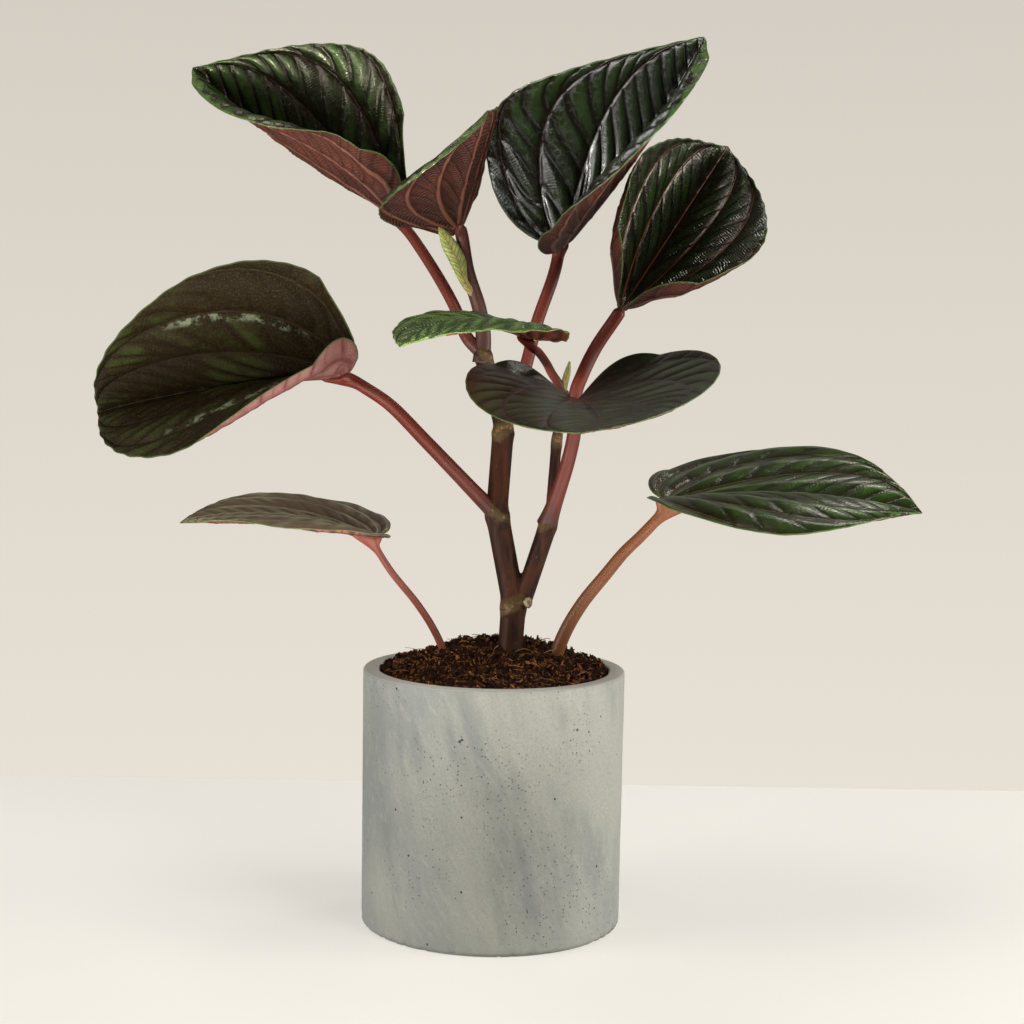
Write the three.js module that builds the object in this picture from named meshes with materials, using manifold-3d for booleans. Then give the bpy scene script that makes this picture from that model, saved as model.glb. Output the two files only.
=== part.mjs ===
// A potted peperomia: a concrete pot of soil, a forked and jointed stem, nine heart-shaped
// ribbed leaves on their stalks, one young rolled leaf and one bud.
//
// Millimetres and degrees. +Z is up, and the origin is the centre of the pot's underside.
// Headings are compass angles in plan: 0 points along +X and 90 along +Y.

import * as THREE from 'three';
import { mergeVertices } from 'three/addons/utils/BufferGeometryUtils.js';
import Module from 'manifold-3d';

const wasm = await Module();
wasm.setup();

// ---------------------------------------------------------------- driving dimensions

const FIT = 0.3;                       // gap kept between two pieces that touch

const POT = {
  rimRadius: 60,
  footRadius: 59.6,
  height: 117,
  wall: 7.3,
  floor: 10,
  edge: 1,                             // rounding of the rim's edges and of the foot
  sides: 56,
};

const SOIL = {
  belowRim: 2.5,                       // at the wall
  crownHeight: 13.5,                   // of the mound, above the soil at the wall
  crownAt: [3, 16],
  crownSpread: [48, 28],               // along X and along Y
  lumpHeight: 1.3,
  lumpsAlongX: 0.47,                   // radians per millimetre
  lumpsAlongY: 0.53,
  slantedLumps: [0.9, -0.7],
  slantedShare: 0.6,                   // of the slanted lumps, against the others
  rings: 8,
  sides: 36,
};

const BLADE = {
  thickness: 0.8,
  rows: 16,                            // from the base to the tip
  openAngle: 150,                      // of the margin at the base, so the sinus opens by 60 degrees
  tipShare: 0.16,                      // of the length, drawn out as the pointed tip
  tipWidth: 0.3,
  midribLead: 1.15,
  veins: [0, 0.3, 0.58, 0.82],         // main veins, as shares of the half width
  ribHeight: 1.3,                      // of the blade's bulge between two veins
  outerRibHeight: 0.65,                // of the bulge beside the margin
  waveHeight: 0.9,                     // of the waved margin
  waveStart: 0.75,                     // share of the half width where the waves begin
  lobeReach: 0.12,                     // of the length, behind the stalk
  bendSteps: 12,                       // of the sum that bends the midrib
};

const STALK = {
  sides: 10,
  step: 7,                             // between two rings
  neck: 6.5,                           // last stretch, which turns up to the blade
  neckFull: 0.6,                       // share of the neck that keeps its full radius
  tipRadius: 0.8,
  tipGap: 0.7,                         // from the blade's underside to the middle of the tip
};

const STEM = {
  sides: 12,
  jointSwell: 1.17,
  jointLength: 4,
};

const COLOURS = {
  pot: 0xb9b7b1,
  soil: 0x4a3020,
  stem: 0x4b332c,
  stalk: 0x9a5a48,
  darkStalk: 0x5b3c32,
  paleStalk: 0xa9745a,
  blade: 0x2c3a24,
  youngBlade: 0x5f7f45,
  bud: 0xa9b06a,
};

// The stem's joints from the soil upwards, on the main limb and on the side limb that leaves the
// fork: [x, y, z, radius of the stretch that starts there].
const MAIN_JOINTS = [
  [5, 6, 84, 5.8],
  [8.5, 6, 146, 5.4],
  [0, 8, 188, 5.0],
  [2.5, 10, 227, 4.1],
  [-8, 8, 261.5, 3.6],
];

const SIDE_JOINTS = [
  [10.5, 5, 147, 3.9],
  [24, 4, 185.5, 2.5],
  [27, 6, 222, 2.3],
  [29.5, 4, 243, 2.2],
];

// The stub of a leaf that was cut off at the fork.
const STUB = { from: [8.5, 6, 146], to: [15.3, -0.5, 147.8], radius: 2.1 };

// A leaf's blade leaves its base point along `heading` and `rise`, and is turned about its midrib
// by `roll`. `droop` bends the midrib down on the way to the tip: an even part and a growing part.
// `fold` lifts the left and the right half at the base, `foldChange` is what that angle gains by
// the tip, `cup` curves each half upwards, `lobeLift` raises each lobe behind the stalk, `twist`
// turns the blade about its midrib by the tip, and `sway` moves the tip to the left as a share of
// the length.
// A stalk's route runs from the stem's middle, or from inside the soil, to just short of the blade.
const LEAVES = [
  {
    name: 'upper_left', base: [-51, 15, 325], length: 116, halfWidth: 63,
    heading: 151, rise: 21, roll: -43, droop: [-56, 17], twist: 0, sway: 0.04,
    fold: [75, 65], foldChange: [-26, -8], cup: [2, 0], lobeLift: [26, 26],
    stalk: [
      [-9, 8, 262], [-15, 9, 268], [-20.5, 11, 281], [-27.5, 12, 293.5],
      [-37, 14, 308], [-43, 15, 316],
    ],
    radius: [2.8, 2.4],
  },
  {
    name: 'top_centre', base: [-19, 1, 317], length: 75, halfWidth: 37,
    heading: -89, rise: 22, roll: 29, droop: [-9, -10], twist: 16, sway: 0.25,
    fold: [32, 28], foldChange: [-17, -16], cup: [21, 15], lobeLift: [20, 20],
    stalk: [[-8, 8, 259], [-7.5, 8, 269], [-9.5, 7, 281], [-15, 4, 298]],
    radius: [3.5, 2.9], stalkColour: 'darkStalk',
  },
  {
    name: 'upper_right', base: [29, 16, 311], length: 113, halfWidth: 67,
    heading: -5, rise: 46, roll: 52, droop: [-38, 9], twist: 15, sway: -0.01,
    fold: [39, 51], foldChange: [23, 4], cup: [26, 17], lobeLift: [13, 13],
    stalk: [[2.5, 10, 227], [8.5, 12, 242], [12.5, 13, 256], [17, 14, 275], [24, 14.5, 296]],
    radius: [3.0, 2.8],
  },
  {
    name: 'right', base: [54, -7, 281], length: 116, halfWidth: 57.5,
    heading: 66, rise: 29, roll: 35, droop: [-51, 16], twist: 6, sway: -0.01,
    fold: [50, 52], foldChange: [-7, 3], cup: [24, -6], lobeLift: [16, 16],
    stalk: [
      [24, 4, 185.5], [27.5, -1, 197], [32, -4, 213], [34.5, -6, 227],
      [34.5, -7, 243], [37.5, -7, 252], [43.5, -5, 264.5],
    ],
    radius: [3.3, 2.9],
  },
  {
    name: 'left', base: [-70, -10, 250], length: 122, halfWidth: 65,
    heading: 168, rise: -5, roll: -85, droop: [-11, 28], twist: -1, sway: 0.07,
    fold: [96, 33], foldChange: [-40, 39], cup: [-36, -2], lobeLift: [36, 24],
    stalk: [
      [0, 8, 187], [-9.5, 5, 194], [-19, 1, 206.5], [-32.5, -3, 222],
      [-53, -7, 236], [-60.5, -9, 243],
    ],
    radius: [3.4, 2.7],
  },
  {
    name: 'small_centre', base: [14, -34, 267], length: 73, halfWidth: 37,
    heading: 212, rise: 19, roll: 13, droop: [29, 26], twist: -16, sway: 0.02,
    fold: [8, 38], foldChange: [-4, -44], cup: [-29, -15], lobeLift: [8, 13],
    stalk: [[29.5, 4, 243], [26.5, 0, 248.5], [24, -5, 252], [21, -14, 257], [17, -26, 262]],
    radius: [2.0, 1.8], bladeColour: 'youngBlade',
  },
  {
    name: 'front', base: [35, -25, 241], length: 132, halfWidth: 57,
    heading: -78, rise: -6, roll: 6, droop: [-5, -4], twist: 0, sway: -0.24,
    fold: [19, 28], foldChange: [-19, -23], cup: [11, -3], lobeLift: [19, 19],
    stalk: [[27.5, 5, 230], [30, -5, 232], [33, -16, 233.5]],
    radius: [2.4, 2.2],
  },
  {
    name: 'low_left', base: [-56, -9, 178], length: 87, halfWidth: 52,
    heading: 184, rise: 15, roll: -2, droop: [16, 12], twist: -2, sway: 0,
    fold: [8, 10], foldChange: [-3, -2], cup: [-6, -11], lobeLift: [6, 6],
    stalk: [
      [-19, 9, 98], [-21, 9, 112], [-24.5, 8, 125], [-29, 7, 134.5],
      [-36, 4, 145.5], [-48, -3, 161.5],
    ],
    radius: [1.9, 1.5],
  },
  {
    name: 'low_right', base: [78, -10, 196], length: 113, halfWidth: 59,
    heading: -6, rise: 6, roll: 8, droop: [7, 13], twist: 14, sway: 0.01,
    fold: [12, 20], foldChange: [4, 0], cup: [-19, -37], lobeLift: [6, 6],
    stalk: [
      [23, 8, 98], [25.5, 6, 112], [27.5, 4, 124.5], [32, 3, 132.5], [40, 0, 147.5],
      [50, -3, 161], [58, -5, 171.5], [66, -7, 180],
    ],
    radius: [3.5, 2.4], stalkColour: 'paleStalk',
  },
];

const YOUNG_STEP = 3.5;                // between two rings of the young leaf and the bud

const YOUNG_LEAF = {
  route: [[-12, 4.5, 287], [-16.5, 1, 293], [-19.5, -1, 302], [-24, -2, 310], [-28, -2, 317]],
  widths: [1.6, 1.8, 3.4, 3.2, 0.8],   // half widths at the route's points
  flatness: 0.55,
  sides: 10,
};

const BUD = {
  route: [[29.4, 4, 243], [29.9, 1.5, 248], [31, 0.5, 253], [32, 0, 258]],
  widths: [1.3, 1.5, 1.4, 0.4],
  flatness: 0.8,
  sides: 8,
};

// ---------------------------------------------------------------- small helpers

const ROUNDING = 1e-6;
const WELD = 1e-4;                     // mm, between two corners that are one

const radians = THREE.MathUtils.degToRad;
const vector = ([x, y, z]) => new THREE.Vector3(x, y, z);

function toManifold(geometry) {
  const bare = geometry.clone();
  bare.deleteAttribute('normal');
  bare.deleteAttribute('uv');
  const merged = mergeVertices(bare, WELD);
  return new wasm.Manifold(new wasm.Mesh({
    numProp: 3,
    vertProperties: new Float32Array(merged.attributes.position.array),
    triVerts: new Uint32Array(merged.index.array),
  }));
}

function toGeometry(solid) {
  const mesh = solid.getMesh();
  return surface(Array.from(mesh.vertProperties), Array.from(mesh.triVerts));
}

function surface(coordinates, triangles) {
  const geometry = new THREE.BufferGeometry();
  geometry.setAttribute('position', new THREE.Float32BufferAttribute(coordinates, 3));
  geometry.setIndex(triangles);
  geometry.computeVertexNormals();
  return geometry;
}

function join(geometries) {
  const solids = geometries.map(toManifold);
  return toGeometry(solids.reduce((whole, next) => whole.add(next)));
}

function cut(geometry, tools) {
  const whole = toManifold(geometry);
  return toGeometry(tools.map(toManifold).reduce((rest, tool) => rest.subtract(tool), whole));
}

// ---------------------------------------------------------------- round limbs

// A closed limb with one ring of `sides` points at each station {point, radius}. `flatness`
// squeezes the rings across, and `clearance` makes the fatter copy that cuts a neighbour.
function limb(stations, { sides, flatness = 1, clearance = 0 }) {
  const coordinates = [];
  const triangles = [];
  let side = new THREE.Vector3(0, 1, 0);

  stations.forEach(({ point, radius }, i) => {
    const before = stations[Math.max(i - 1, 0)].point;
    const after = stations[Math.min(i + 1, stations.length - 1)].point;
    const along = after.clone().sub(before).normalize();
    side = side.clone().addScaledVector(along, -side.dot(along)).normalize();
    const across = along.clone().cross(side);
    for (let k = 0; k < sides; k += 1) {
      const angle = (k / sides) * 2 * Math.PI;
      const corner = point.clone()
        .addScaledVector(side, (radius * flatness + clearance) * Math.cos(angle))
        .addScaledVector(across, (radius + clearance) * Math.sin(angle));
      coordinates.push(corner.x, corner.y, corner.z);
    }
  });

  for (let i = 0; i + 1 < stations.length; i += 1) {
    for (let k = 0; k < sides; k += 1) {
      const next = (k + 1) % sides;
      const low = i * sides;
      const high = low + sides;
      triangles.push(low + k, low + next, high + next);
      triangles.push(low + k, high + next, high + k);
    }
  }

  const first = coordinates.length / 3;
  const last = first + 1;
  const top = (stations.length - 1) * sides;
  coordinates.push(...stations[0].point.toArray(), ...stations.at(-1).point.toArray());
  for (let k = 0; k < sides; k += 1) {
    const next = (k + 1) % sides;
    triangles.push(first, next, k);
    triangles.push(last, top + k, top + next);
  }
  return surface(coordinates, triangles);
}

// Straight stretches between swollen joints.
function jointedStations(joints) {
  const stations = [];
  joints.forEach(([x, y, z, radius], i) => {
    const point = new THREE.Vector3(x, y, z);
    const below = i > 0 ? vector(joints[i - 1]) : null;
    const above = i + 1 < joints.length ? vector(joints[i + 1]) : null;
    const radiusBelow = i > 0 ? joints[i - 1][3] : radius;
    if (below) {
      const down = below.sub(point).setLength(STEM.jointLength);
      stations.push({ point: point.clone().add(down), radius: radiusBelow });
    }
    stations.push({ point, radius: (i > 0 ? STEM.jointSwell : 1) * Math.max(radius, radiusBelow) });
    if (above && i > 0) {
      const up = above.sub(point).setLength(STEM.jointLength);
      stations.push({ point: point.clone().add(up), radius });
    }
  });
  const tip = stations.at(-1).point;
  const beforeTip = stations.at(-2).point;
  const overTip = tip.clone().sub(beforeTip).setLength(STEM.jointLength / 2);
  stations.push({ point: tip.clone().add(overTip), radius: joints.at(-1)[3] });
  return stations;
}

// A smooth limb through points with a radius at each.
function smoothStations(points, radiusAt, step) {
  const path = new THREE.CatmullRomCurve3(points, false, 'centripetal');
  const count = Math.ceil(path.getLength() / step);
  return Array.from({ length: count + 1 }, (_, i) => ({
    point: path.getPointAt(i / count),
    radius: radiusAt(i / count),
  }));
}

function stemGeometry(clearance = 0) {
  const options = { sides: STEM.sides, clearance };
  const stub = [
    { point: vector(STUB.from), radius: STUB.radius },
    { point: vector(STUB.to), radius: STUB.radius },
  ];
  return join([
    limb(jointedStations(MAIN_JOINTS), options),
    limb(jointedStations(SIDE_JOINTS), options),
    limb(stub, options),
  ]);
}

// ---------------------------------------------------------------- blades

// The margin is a curve round the base point: its distance at `angle` off the midrib, as a share
// of its distance straight ahead.
function marginReach(angle) {
  const open = Math.cos(radians(BLADE.openAngle));
  return (Math.cos(angle) - open) / (1 - open);
}

// The margin's widest place, which makes halfWidth the true half width.
const widestReach = Math.max(...Array.from({ length: BLADE.openAngle }, (_, degree) => (
  marginReach(radians(degree)) * Math.sin(radians(degree))
)));

// The flat blade's point at `t` from base to tip and `s` from the right margin (-1) over the
// midrib (0) to the left margin (1).
function bladeOutline(t, s, { length, halfWidth }) {
  const angle = radians(BLADE.openAngle) * (1 - t);
  const reach = marginReach(angle);
  const body = length * (1 - BLADE.tipShare);
  const tip = length * BLADE.tipShare;
  const marginX = body * reach * Math.cos(angle) + tip * Math.exp(-angle / BLADE.tipWidth);
  const marginY = (halfWidth * reach * Math.sin(angle)) / widestReach;
  const midribX = length * reach ** BLADE.midribLead;
  const share = Math.abs(s);
  return { along: (1 - share) * midribX + share * marginX, across: share * marginY };
}

// How far the blade's surface stands off its smooth form: bulges between the veins and waves
// along the margin, both fading out at the base and at the tip.
function bladeRelief(t, s) {
  const lines = [...BLADE.veins, 1];
  const share = Math.abs(s);
  const cell = lines.findIndex((line, i) => i > 0 && share <= line + ROUNDING);
  const place = (share - lines[cell - 1]) / (lines[cell] - lines[cell - 1]);
  const height = cell === lines.length - 1 ? BLADE.outerRibHeight : BLADE.ribHeight;
  const rib = height * Math.sin(Math.PI * place);
  const edge = Math.max(0, (share - BLADE.waveStart) / (1 - BLADE.waveStart));
  const wave = BLADE.waveHeight * edge * Math.cos(Math.PI * BLADE.rows * t);
  return Math.sqrt(Math.sin(Math.PI * t)) * (rib + wave);
}

const sinc = (angle) => (Math.abs(angle) < ROUNDING ? 1 : Math.sin(angle) / angle);

// Bent midrib: place and slope at a share `u` of its length.
function midrib(u, { length, droop }) {
  const bend = Math.max(u, 0);
  const slopeAt = (v) => radians(droop[0] * v + droop[1] * v * v);
  let along = Math.min(u, 0);
  let down = 0;
  for (let i = 0; i < BLADE.bendSteps; i += 1) {
    const slope = slopeAt((bend * (i + 0.5)) / BLADE.bendSteps);
    along += (Math.cos(slope) * bend) / BLADE.bendSteps;
    down += (Math.sin(slope) * bend) / BLADE.bendSteps;
  }
  return { along: along * length, up: -down * length, slope: slopeAt(bend) };
}

function bladeFrame({ heading, rise, roll }) {
  const h = radians(heading);
  const e = radians(rise);
  const forward = new THREE.Vector3(Math.cos(e) * Math.cos(h), Math.cos(e) * Math.sin(h), Math.sin(e));
  const left = new THREE.Vector3(-Math.sin(h), Math.cos(h), 0).applyAxisAngle(forward, radians(roll));
  const up = forward.clone().cross(left);
  return { forward, left, up };
}

function bladePoint(t, s, leaf) {
  const side = s >= 0 ? 0 : 1;
  const { along, across } = bladeOutline(t, s, leaf);
  const u = along / leaf.length;
  const forwardShare = Math.min(Math.max(u, 0), 1);
  const rib = midrib(u, leaf);

  const lobe = Math.max(-u / BLADE.lobeReach, 0) * leaf.lobeLift[side];
  const fold = radians(leaf.fold[side] + leaf.foldChange[side] * forwardShare + lobe);
  const curve = (radians(leaf.cup[side]) * across) / leaf.halfWidth;
  const chord = across * sinc(curve / 2);
  const out = Math.sign(s) * chord * Math.cos(fold + curve / 2);
  const relief = bladeRelief(t, s);
  const up = chord * Math.sin(fold + curve / 2) + relief * Math.cos(fold + curve);
  const inward = -Math.sign(s) * relief * Math.sin(fold + curve);

  const twist = radians(leaf.twist) * forwardShare;
  const leftward = (out + inward) * Math.cos(twist) - up * Math.sin(twist);
  const upward = (out + inward) * Math.sin(twist) + up * Math.cos(twist);

  const { forward, left, up: normal } = bladeFrame(leaf);
  const swayed = leftward + leaf.sway * leaf.length * forwardShare ** 2;
  return vector(leaf.base)
    .addScaledVector(forward, rib.along + upward * Math.sin(rib.slope))
    .addScaledVector(left, swayed)
    .addScaledVector(normal, rib.up + upward * Math.cos(rib.slope));
}

// Columns lie on the main veins and half way between them.
function bladeColumns() {
  const lines = [...BLADE.veins, 1];
  const half = lines.flatMap((line, i) => (i === 0 ? [line] : [(line + lines[i - 1]) / 2, line]));
  return [...half.slice(1).reverse().map((s) => -s), ...half];
}

// The blade's middle surface is one grid that closes to a point at the base and at the tip. Both
// faces are that grid, moved half the thickness along its normals, and a rim joins them.
function bladeGeometry(leaf) {
  const columns = bladeColumns();
  const width = columns.length;
  const middle = [bladePoint(0, 0, leaf).toArray()];
  for (let i = 1; i < BLADE.rows; i += 1) {
    columns.forEach((s) => middle.push(bladePoint(i / BLADE.rows, s, leaf).toArray()));
  }
  middle.push(bladePoint(1, 0, leaf).toArray());

  const cell = (i, j) => {
    if (i === 0) return 0;
    if (i === BLADE.rows) return middle.length - 1;
    return 1 + (i - 1) * width + j;
  };
  const face = [];
  for (let i = 0; i < BLADE.rows; i += 1) {
    for (let j = 0; j + 1 < width; j += 1) {
      if (i + 1 < BLADE.rows) face.push([cell(i, j), cell(i + 1, j), cell(i + 1, j + 1)]);
      if (i > 0) face.push([cell(i, j), cell(i + 1, j + 1), cell(i, j + 1)]);
    }
  }

  const normals = surface(middle.flat(), face.flat()).attributes.normal;
  const count = middle.length;
  const coordinates = [];
  const half = BLADE.thickness / 2;
  [half, -half].forEach((offset) => middle.forEach((point, k) => {
    const normal = new THREE.Vector3().fromBufferAttribute(normals, k);
    coordinates.push(...vector(point).addScaledVector(normal, offset).toArray());
  }));

  const triangles = face.flatMap(([a, b, c]) => [a, b, c, count + a, count + c, count + b]);
  for (let i = 0; i < BLADE.rows; i += 1) {
    const [right, nextRight] = [cell(i, 0), cell(i + 1, 0)];
    const [leftEdge, nextLeft] = [cell(i, width - 1), cell(i + 1, width - 1)];
    triangles.push(right, count + right, nextRight, nextRight, count + right, count + nextRight);
    triangles.push(leftEdge, nextLeft, count + leftEdge, nextLeft, count + nextLeft, count + leftEdge);
  }
  return surface(coordinates, triangles);
}

// ---------------------------------------------------------------- stalks

function stalkStations(leaf) {
  const below = bladeFrame(leaf).up.negate();
  const route = leaf.stalk.map(vector);
  const end = vector(leaf.base).addScaledVector(below, BLADE.thickness / 2 + STALK.tipGap);
  const back = route.at(-1).clone().sub(end).normalize();
  const neck = end.clone().addScaledVector(back.add(below).normalize(), STALK.neck);
  const [low, high] = leaf.radius;
  const stations = smoothStations([...route, neck], (share) => low + (high - low) * share, STALK.step);
  stations.push({ point: neck.clone().lerp(end, STALK.neckFull), radius: high });
  stations.push({ point: end, radius: STALK.tipRadius });
  return stations;
}

function stalkGeometry(leaf, clearance = 0) {
  return limb(stalkStations(leaf), { sides: STALK.sides, clearance });
}

// ---------------------------------------------------------------- young leaf and bud

function spindle({ route, widths, flatness, sides }) {
  const radiusAt = (share) => {
    const place = share * (widths.length - 1);
    const i = Math.min(Math.floor(place), widths.length - 2);
    return THREE.MathUtils.lerp(widths[i], widths[i + 1], place - i);
  };
  return limb(smoothStations(route.map(vector), radiusAt, YOUNG_STEP), { sides, flatness });
}

// ---------------------------------------------------------------- pot and soil

function potGeometry() {
  const { rimRadius, footRadius, height, wall, floor, edge, sides } = POT;
  const inner = rimRadius - wall;
  const roundedBy = edge * (1 - Math.SQRT1_2);
  const profile = [
    [0, 0],
    [footRadius - edge, 0],
    [footRadius, edge],
    [rimRadius, height - edge],
    [rimRadius - roundedBy, height - roundedBy],
    [rimRadius - edge, height],
    [inner + edge, height],
    [inner, height - edge],
    [inner, floor],
    [0, floor],
  ].map(([x, y]) => new THREE.Vector2(x, y));
  return new THREE.LatheGeometry(profile, sides).rotateX(Math.PI / 2);
}

function soilHeight(x, y) {
  const { crownAt, crownSpread, slantedLumps } = SOIL;
  const fromCrown = Math.hypot((x - crownAt[0]) / crownSpread[0], (y - crownAt[1]) / crownSpread[1]);
  const mound = SOIL.crownHeight * Math.exp(-(fromCrown ** 2));
  const crossed = Math.sin(x * SOIL.lumpsAlongX + 1) * Math.sin(y * SOIL.lumpsAlongY);
  const slanted = SOIL.slantedShare * Math.sin(x * slantedLumps[0] + y * slantedLumps[1]);
  return POT.height - SOIL.belowRim + mound + SOIL.lumpHeight * (crossed + slanted);
}

// Rings of points from the wall to the middle, over one ring at the bottom.
function soilGeometry() {
  const radius = POT.rimRadius - POT.wall - FIT;
  const bottom = POT.floor + FIT;
  const coordinates = [0, 0, bottom, 0, 0, soilHeight(0, 0)];
  const triangles = [];
  const ring = (level) => 2 + level * SOIL.sides;
  for (let level = 0; level <= SOIL.rings; level += 1) {
    const share = level === 0 ? 1 : 1 - (level - 1) / SOIL.rings;
    for (let k = 0; k < SOIL.sides; k += 1) {
      const angle = (k / SOIL.sides) * 2 * Math.PI;
      const x = radius * share * Math.cos(angle);
      const y = radius * share * Math.sin(angle);
      coordinates.push(x, y, level === 0 ? bottom : soilHeight(x, y));
    }
  }
  for (let k = 0; k < SOIL.sides; k += 1) {
    const next = (k + 1) % SOIL.sides;
    triangles.push(0, ring(0) + next, ring(0) + k);
    triangles.push(1, ring(SOIL.rings) + k, ring(SOIL.rings) + next);
    for (let level = 0; level < SOIL.rings; level += 1) {
      triangles.push(ring(level) + k, ring(level) + next, ring(level + 1) + next);
      triangles.push(ring(level) + k, ring(level + 1) + next, ring(level + 1) + k);
    }
  }
  return surface(coordinates, triangles);
}

// ---------------------------------------------------------------- the plant in its pot

const plant = new THREE.Group();

function addPiece(name, geometry, color, roughness) {
  const material = new THREE.MeshStandardMaterial({ color, roughness, metalness: 0 });
  const mesh = new THREE.Mesh(geometry, material);
  mesh.name = name;
  plant.add(mesh);
}

addPiece('pot', potGeometry(), COLOURS.pot, 0.85);

const stem = stemGeometry();
const stemTool = stemGeometry(FIT);
addPiece('stem', stem, COLOURS.stem, 0.6);

const stalkTools = [];
LEAVES.forEach((leaf) => {
  const stalk = cut(stalkGeometry(leaf), [stemTool, ...stalkTools]);
  stalkTools.push(stalkGeometry(leaf, FIT));
  addPiece(`stalk_${leaf.name}`, stalk, COLOURS[leaf.stalkColour ?? 'stalk'], 0.5);
  addPiece(`leaf_${leaf.name}`, bladeGeometry(leaf), COLOURS[leaf.bladeColour ?? 'blade'], 0.4);
});

addPiece('young_leaf', cut(spindle(YOUNG_LEAF), [stemTool, ...stalkTools]), COLOURS.bud, 0.5);
addPiece('bud', cut(spindle(BUD), [stemTool, ...stalkTools]), COLOURS.bud, 0.5);
addPiece('soil', cut(soilGeometry(), [stemTool, ...stalkTools]), COLOURS.soil, 0.95);

export default plant;
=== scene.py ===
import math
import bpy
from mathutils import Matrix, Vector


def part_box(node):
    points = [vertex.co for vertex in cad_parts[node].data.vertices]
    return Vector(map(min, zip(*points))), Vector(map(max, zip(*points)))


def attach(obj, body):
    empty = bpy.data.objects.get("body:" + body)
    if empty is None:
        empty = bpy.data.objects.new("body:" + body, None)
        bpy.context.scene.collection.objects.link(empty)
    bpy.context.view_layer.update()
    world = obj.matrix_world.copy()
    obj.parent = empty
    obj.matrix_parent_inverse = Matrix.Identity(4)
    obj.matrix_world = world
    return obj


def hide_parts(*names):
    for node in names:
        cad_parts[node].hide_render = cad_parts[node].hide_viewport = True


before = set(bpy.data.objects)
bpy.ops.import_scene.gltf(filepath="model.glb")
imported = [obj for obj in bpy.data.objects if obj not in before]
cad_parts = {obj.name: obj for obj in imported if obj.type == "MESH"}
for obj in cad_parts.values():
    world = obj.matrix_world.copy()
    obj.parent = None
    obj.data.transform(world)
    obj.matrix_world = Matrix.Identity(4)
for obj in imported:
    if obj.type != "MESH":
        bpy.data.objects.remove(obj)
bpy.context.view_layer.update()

# The looks of a potted peperomia: glossy ribbed leaves with red undersides, jointed stem, coir
# soil and a cast concrete pot. Metres and degrees, +Z up, origin at the centre of the pot's foot.

from types import SimpleNamespace

import bpy
import numpy as np
from mathutils import Matrix, Vector, kdtree, noise

MM = 0.001
SEED = 11

# ---------------------------------------------------------------- driving dimensions

FIT = 0.3 * MM                         # gap between two pieces that touch

POT = {
    "edge": 1.3 * MM, "wall": 7.3 * MM, "floor": 10 * MM, "foot_radius": 59.6 * MM,
    "dent": 0.12 * MM, "chip": 2.2 * MM, "chipped_height": 1.6 * MM,
    "sides": 260, "outer_levels": 44, "inner_levels": 12,
}
SOIL = {
    "below_rim": 2.5 * MM, "crown_height": 13.5 * MM, "crown_at": (3 * MM, 16 * MM),
    "crown_spread": (48 * MM, 28 * MM), "lump": 1.3 * MM, "sunk_edge": 2.2 * MM,
    "sunk_span": (25 * MM, 48 * MM), "crumb": 1.3 * MM, "fine_crumb": 0.5 * MM,
    "rings": 62, "sides": 220,
}
GRAIN = {
    "count": 3600, "size": (0.35 * MM, 0.85 * MM), "large_share": 0.10, "large": 1.7,
    "stretch": ((0.8, 0.45, 0.4), (2.6, 0.9, 0.8)),
}
FIBRE = {
    "count": 520, "length": (2.5 * MM, 8 * MM), "bend": (-0.9, 0.9), "rise": (-0.1, 0.22),
    "thickness": (0.08 * MM, 0.17 * MM), "steps": 8,
}

OPEN_ANGLE = math.radians(150)         # of the blade's margin at the base
TIP_SHARE = 0.16                       # of the blade's length, drawn out as the pointed tip
TIP_WIDTH = 0.3                        # of that tip, in radians of the margin's angle
MIDRIB_LEAD = 1.15                     # above 1, a row meets the midrib nearer to the base
LOBE_REACH = 0.12                      # of the length, behind the stalk
BEND_STEPS = 12                        # of the sum that bends the midrib
VEIN_SHARES = (0, 0.30, 0.58, 0.82, 1)  # the main veins' places on the half width, and the margin
VEIN_SPREAD = 0.42                     # how far the outer veins run out to the margin by the tip
SIDE_VEIN_ANGLE = math.radians(32)     # between a side vein and its main vein
KEEL = 3 * MM                          # width of the rounded fold along the midrib
WAVES = 8                              # of the margin, and then its small scallops
SCALLOPS = 23
BITE = 0.022                           # depth of a nibble, as a share of the distance from base
HALF_THICKNESS = 0.32 * MM

STALK_NECK = 4 * MM                    # from the blade's base to the stalk's last bend
STALK_ROOT = 2.5 * MM                  # of the stalk's foot, inside the stem
WEB_LENGTH = 1.4                       # of the web down the stalk, as a share of its reach

JOINT_SWELL = 0.17                     # of the stem's radius
JOINT_LENGTH = 4 * MM                  # over which that fades along the stem
JOINT_REACH = 9 * MM                   # how far the colours of a joint can reach
OUT_OF_REACH = 1.0                     # the distance that counts beyond it
STEM_VOXEL = 0.6 * MM

# The stem's joints from the soil upwards: x, y, z and the radius of the stretch that starts there.
MAIN_JOINTS = MM * np.array([
    (5, 6, 84, 5.8), (8.5, 6, 146, 5.4), (0, 8, 188, 5.0), (2.5, 10, 227, 4.1), (-8, 8, 261.5, 3.6),
])
SIDE_JOINTS = MM * np.array([
    (12.5, 5, 147, 4.3), (24.5, 4, 185.5, 2.5), (27, 6, 222, 2.3), (29.5, 4, 243, 2.2),
])
STUB_START = MM * np.array((9.5, 6, 146))
STUB_END = MM * np.array((15.2, -1.2, 147.6))
STUB_RADIUS = 2.5 * MM
SCAR = {
    "rings": 9, "sides": 32, "middle": 0.1 * MM, "ring": 0.45 * MM, "edge": 0.5 * MM,
    "depth": 1.2 * MM, "overhang": 1.04,
}

# Where the stem and two stalks stand in the soil: x, y and the radius kept clear of crumbs.
STEM_FEET = MM * np.array([(6, 6, 6.6), (-19.5, 9, 2.6), (23.5, 8, 4.2)])

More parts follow.
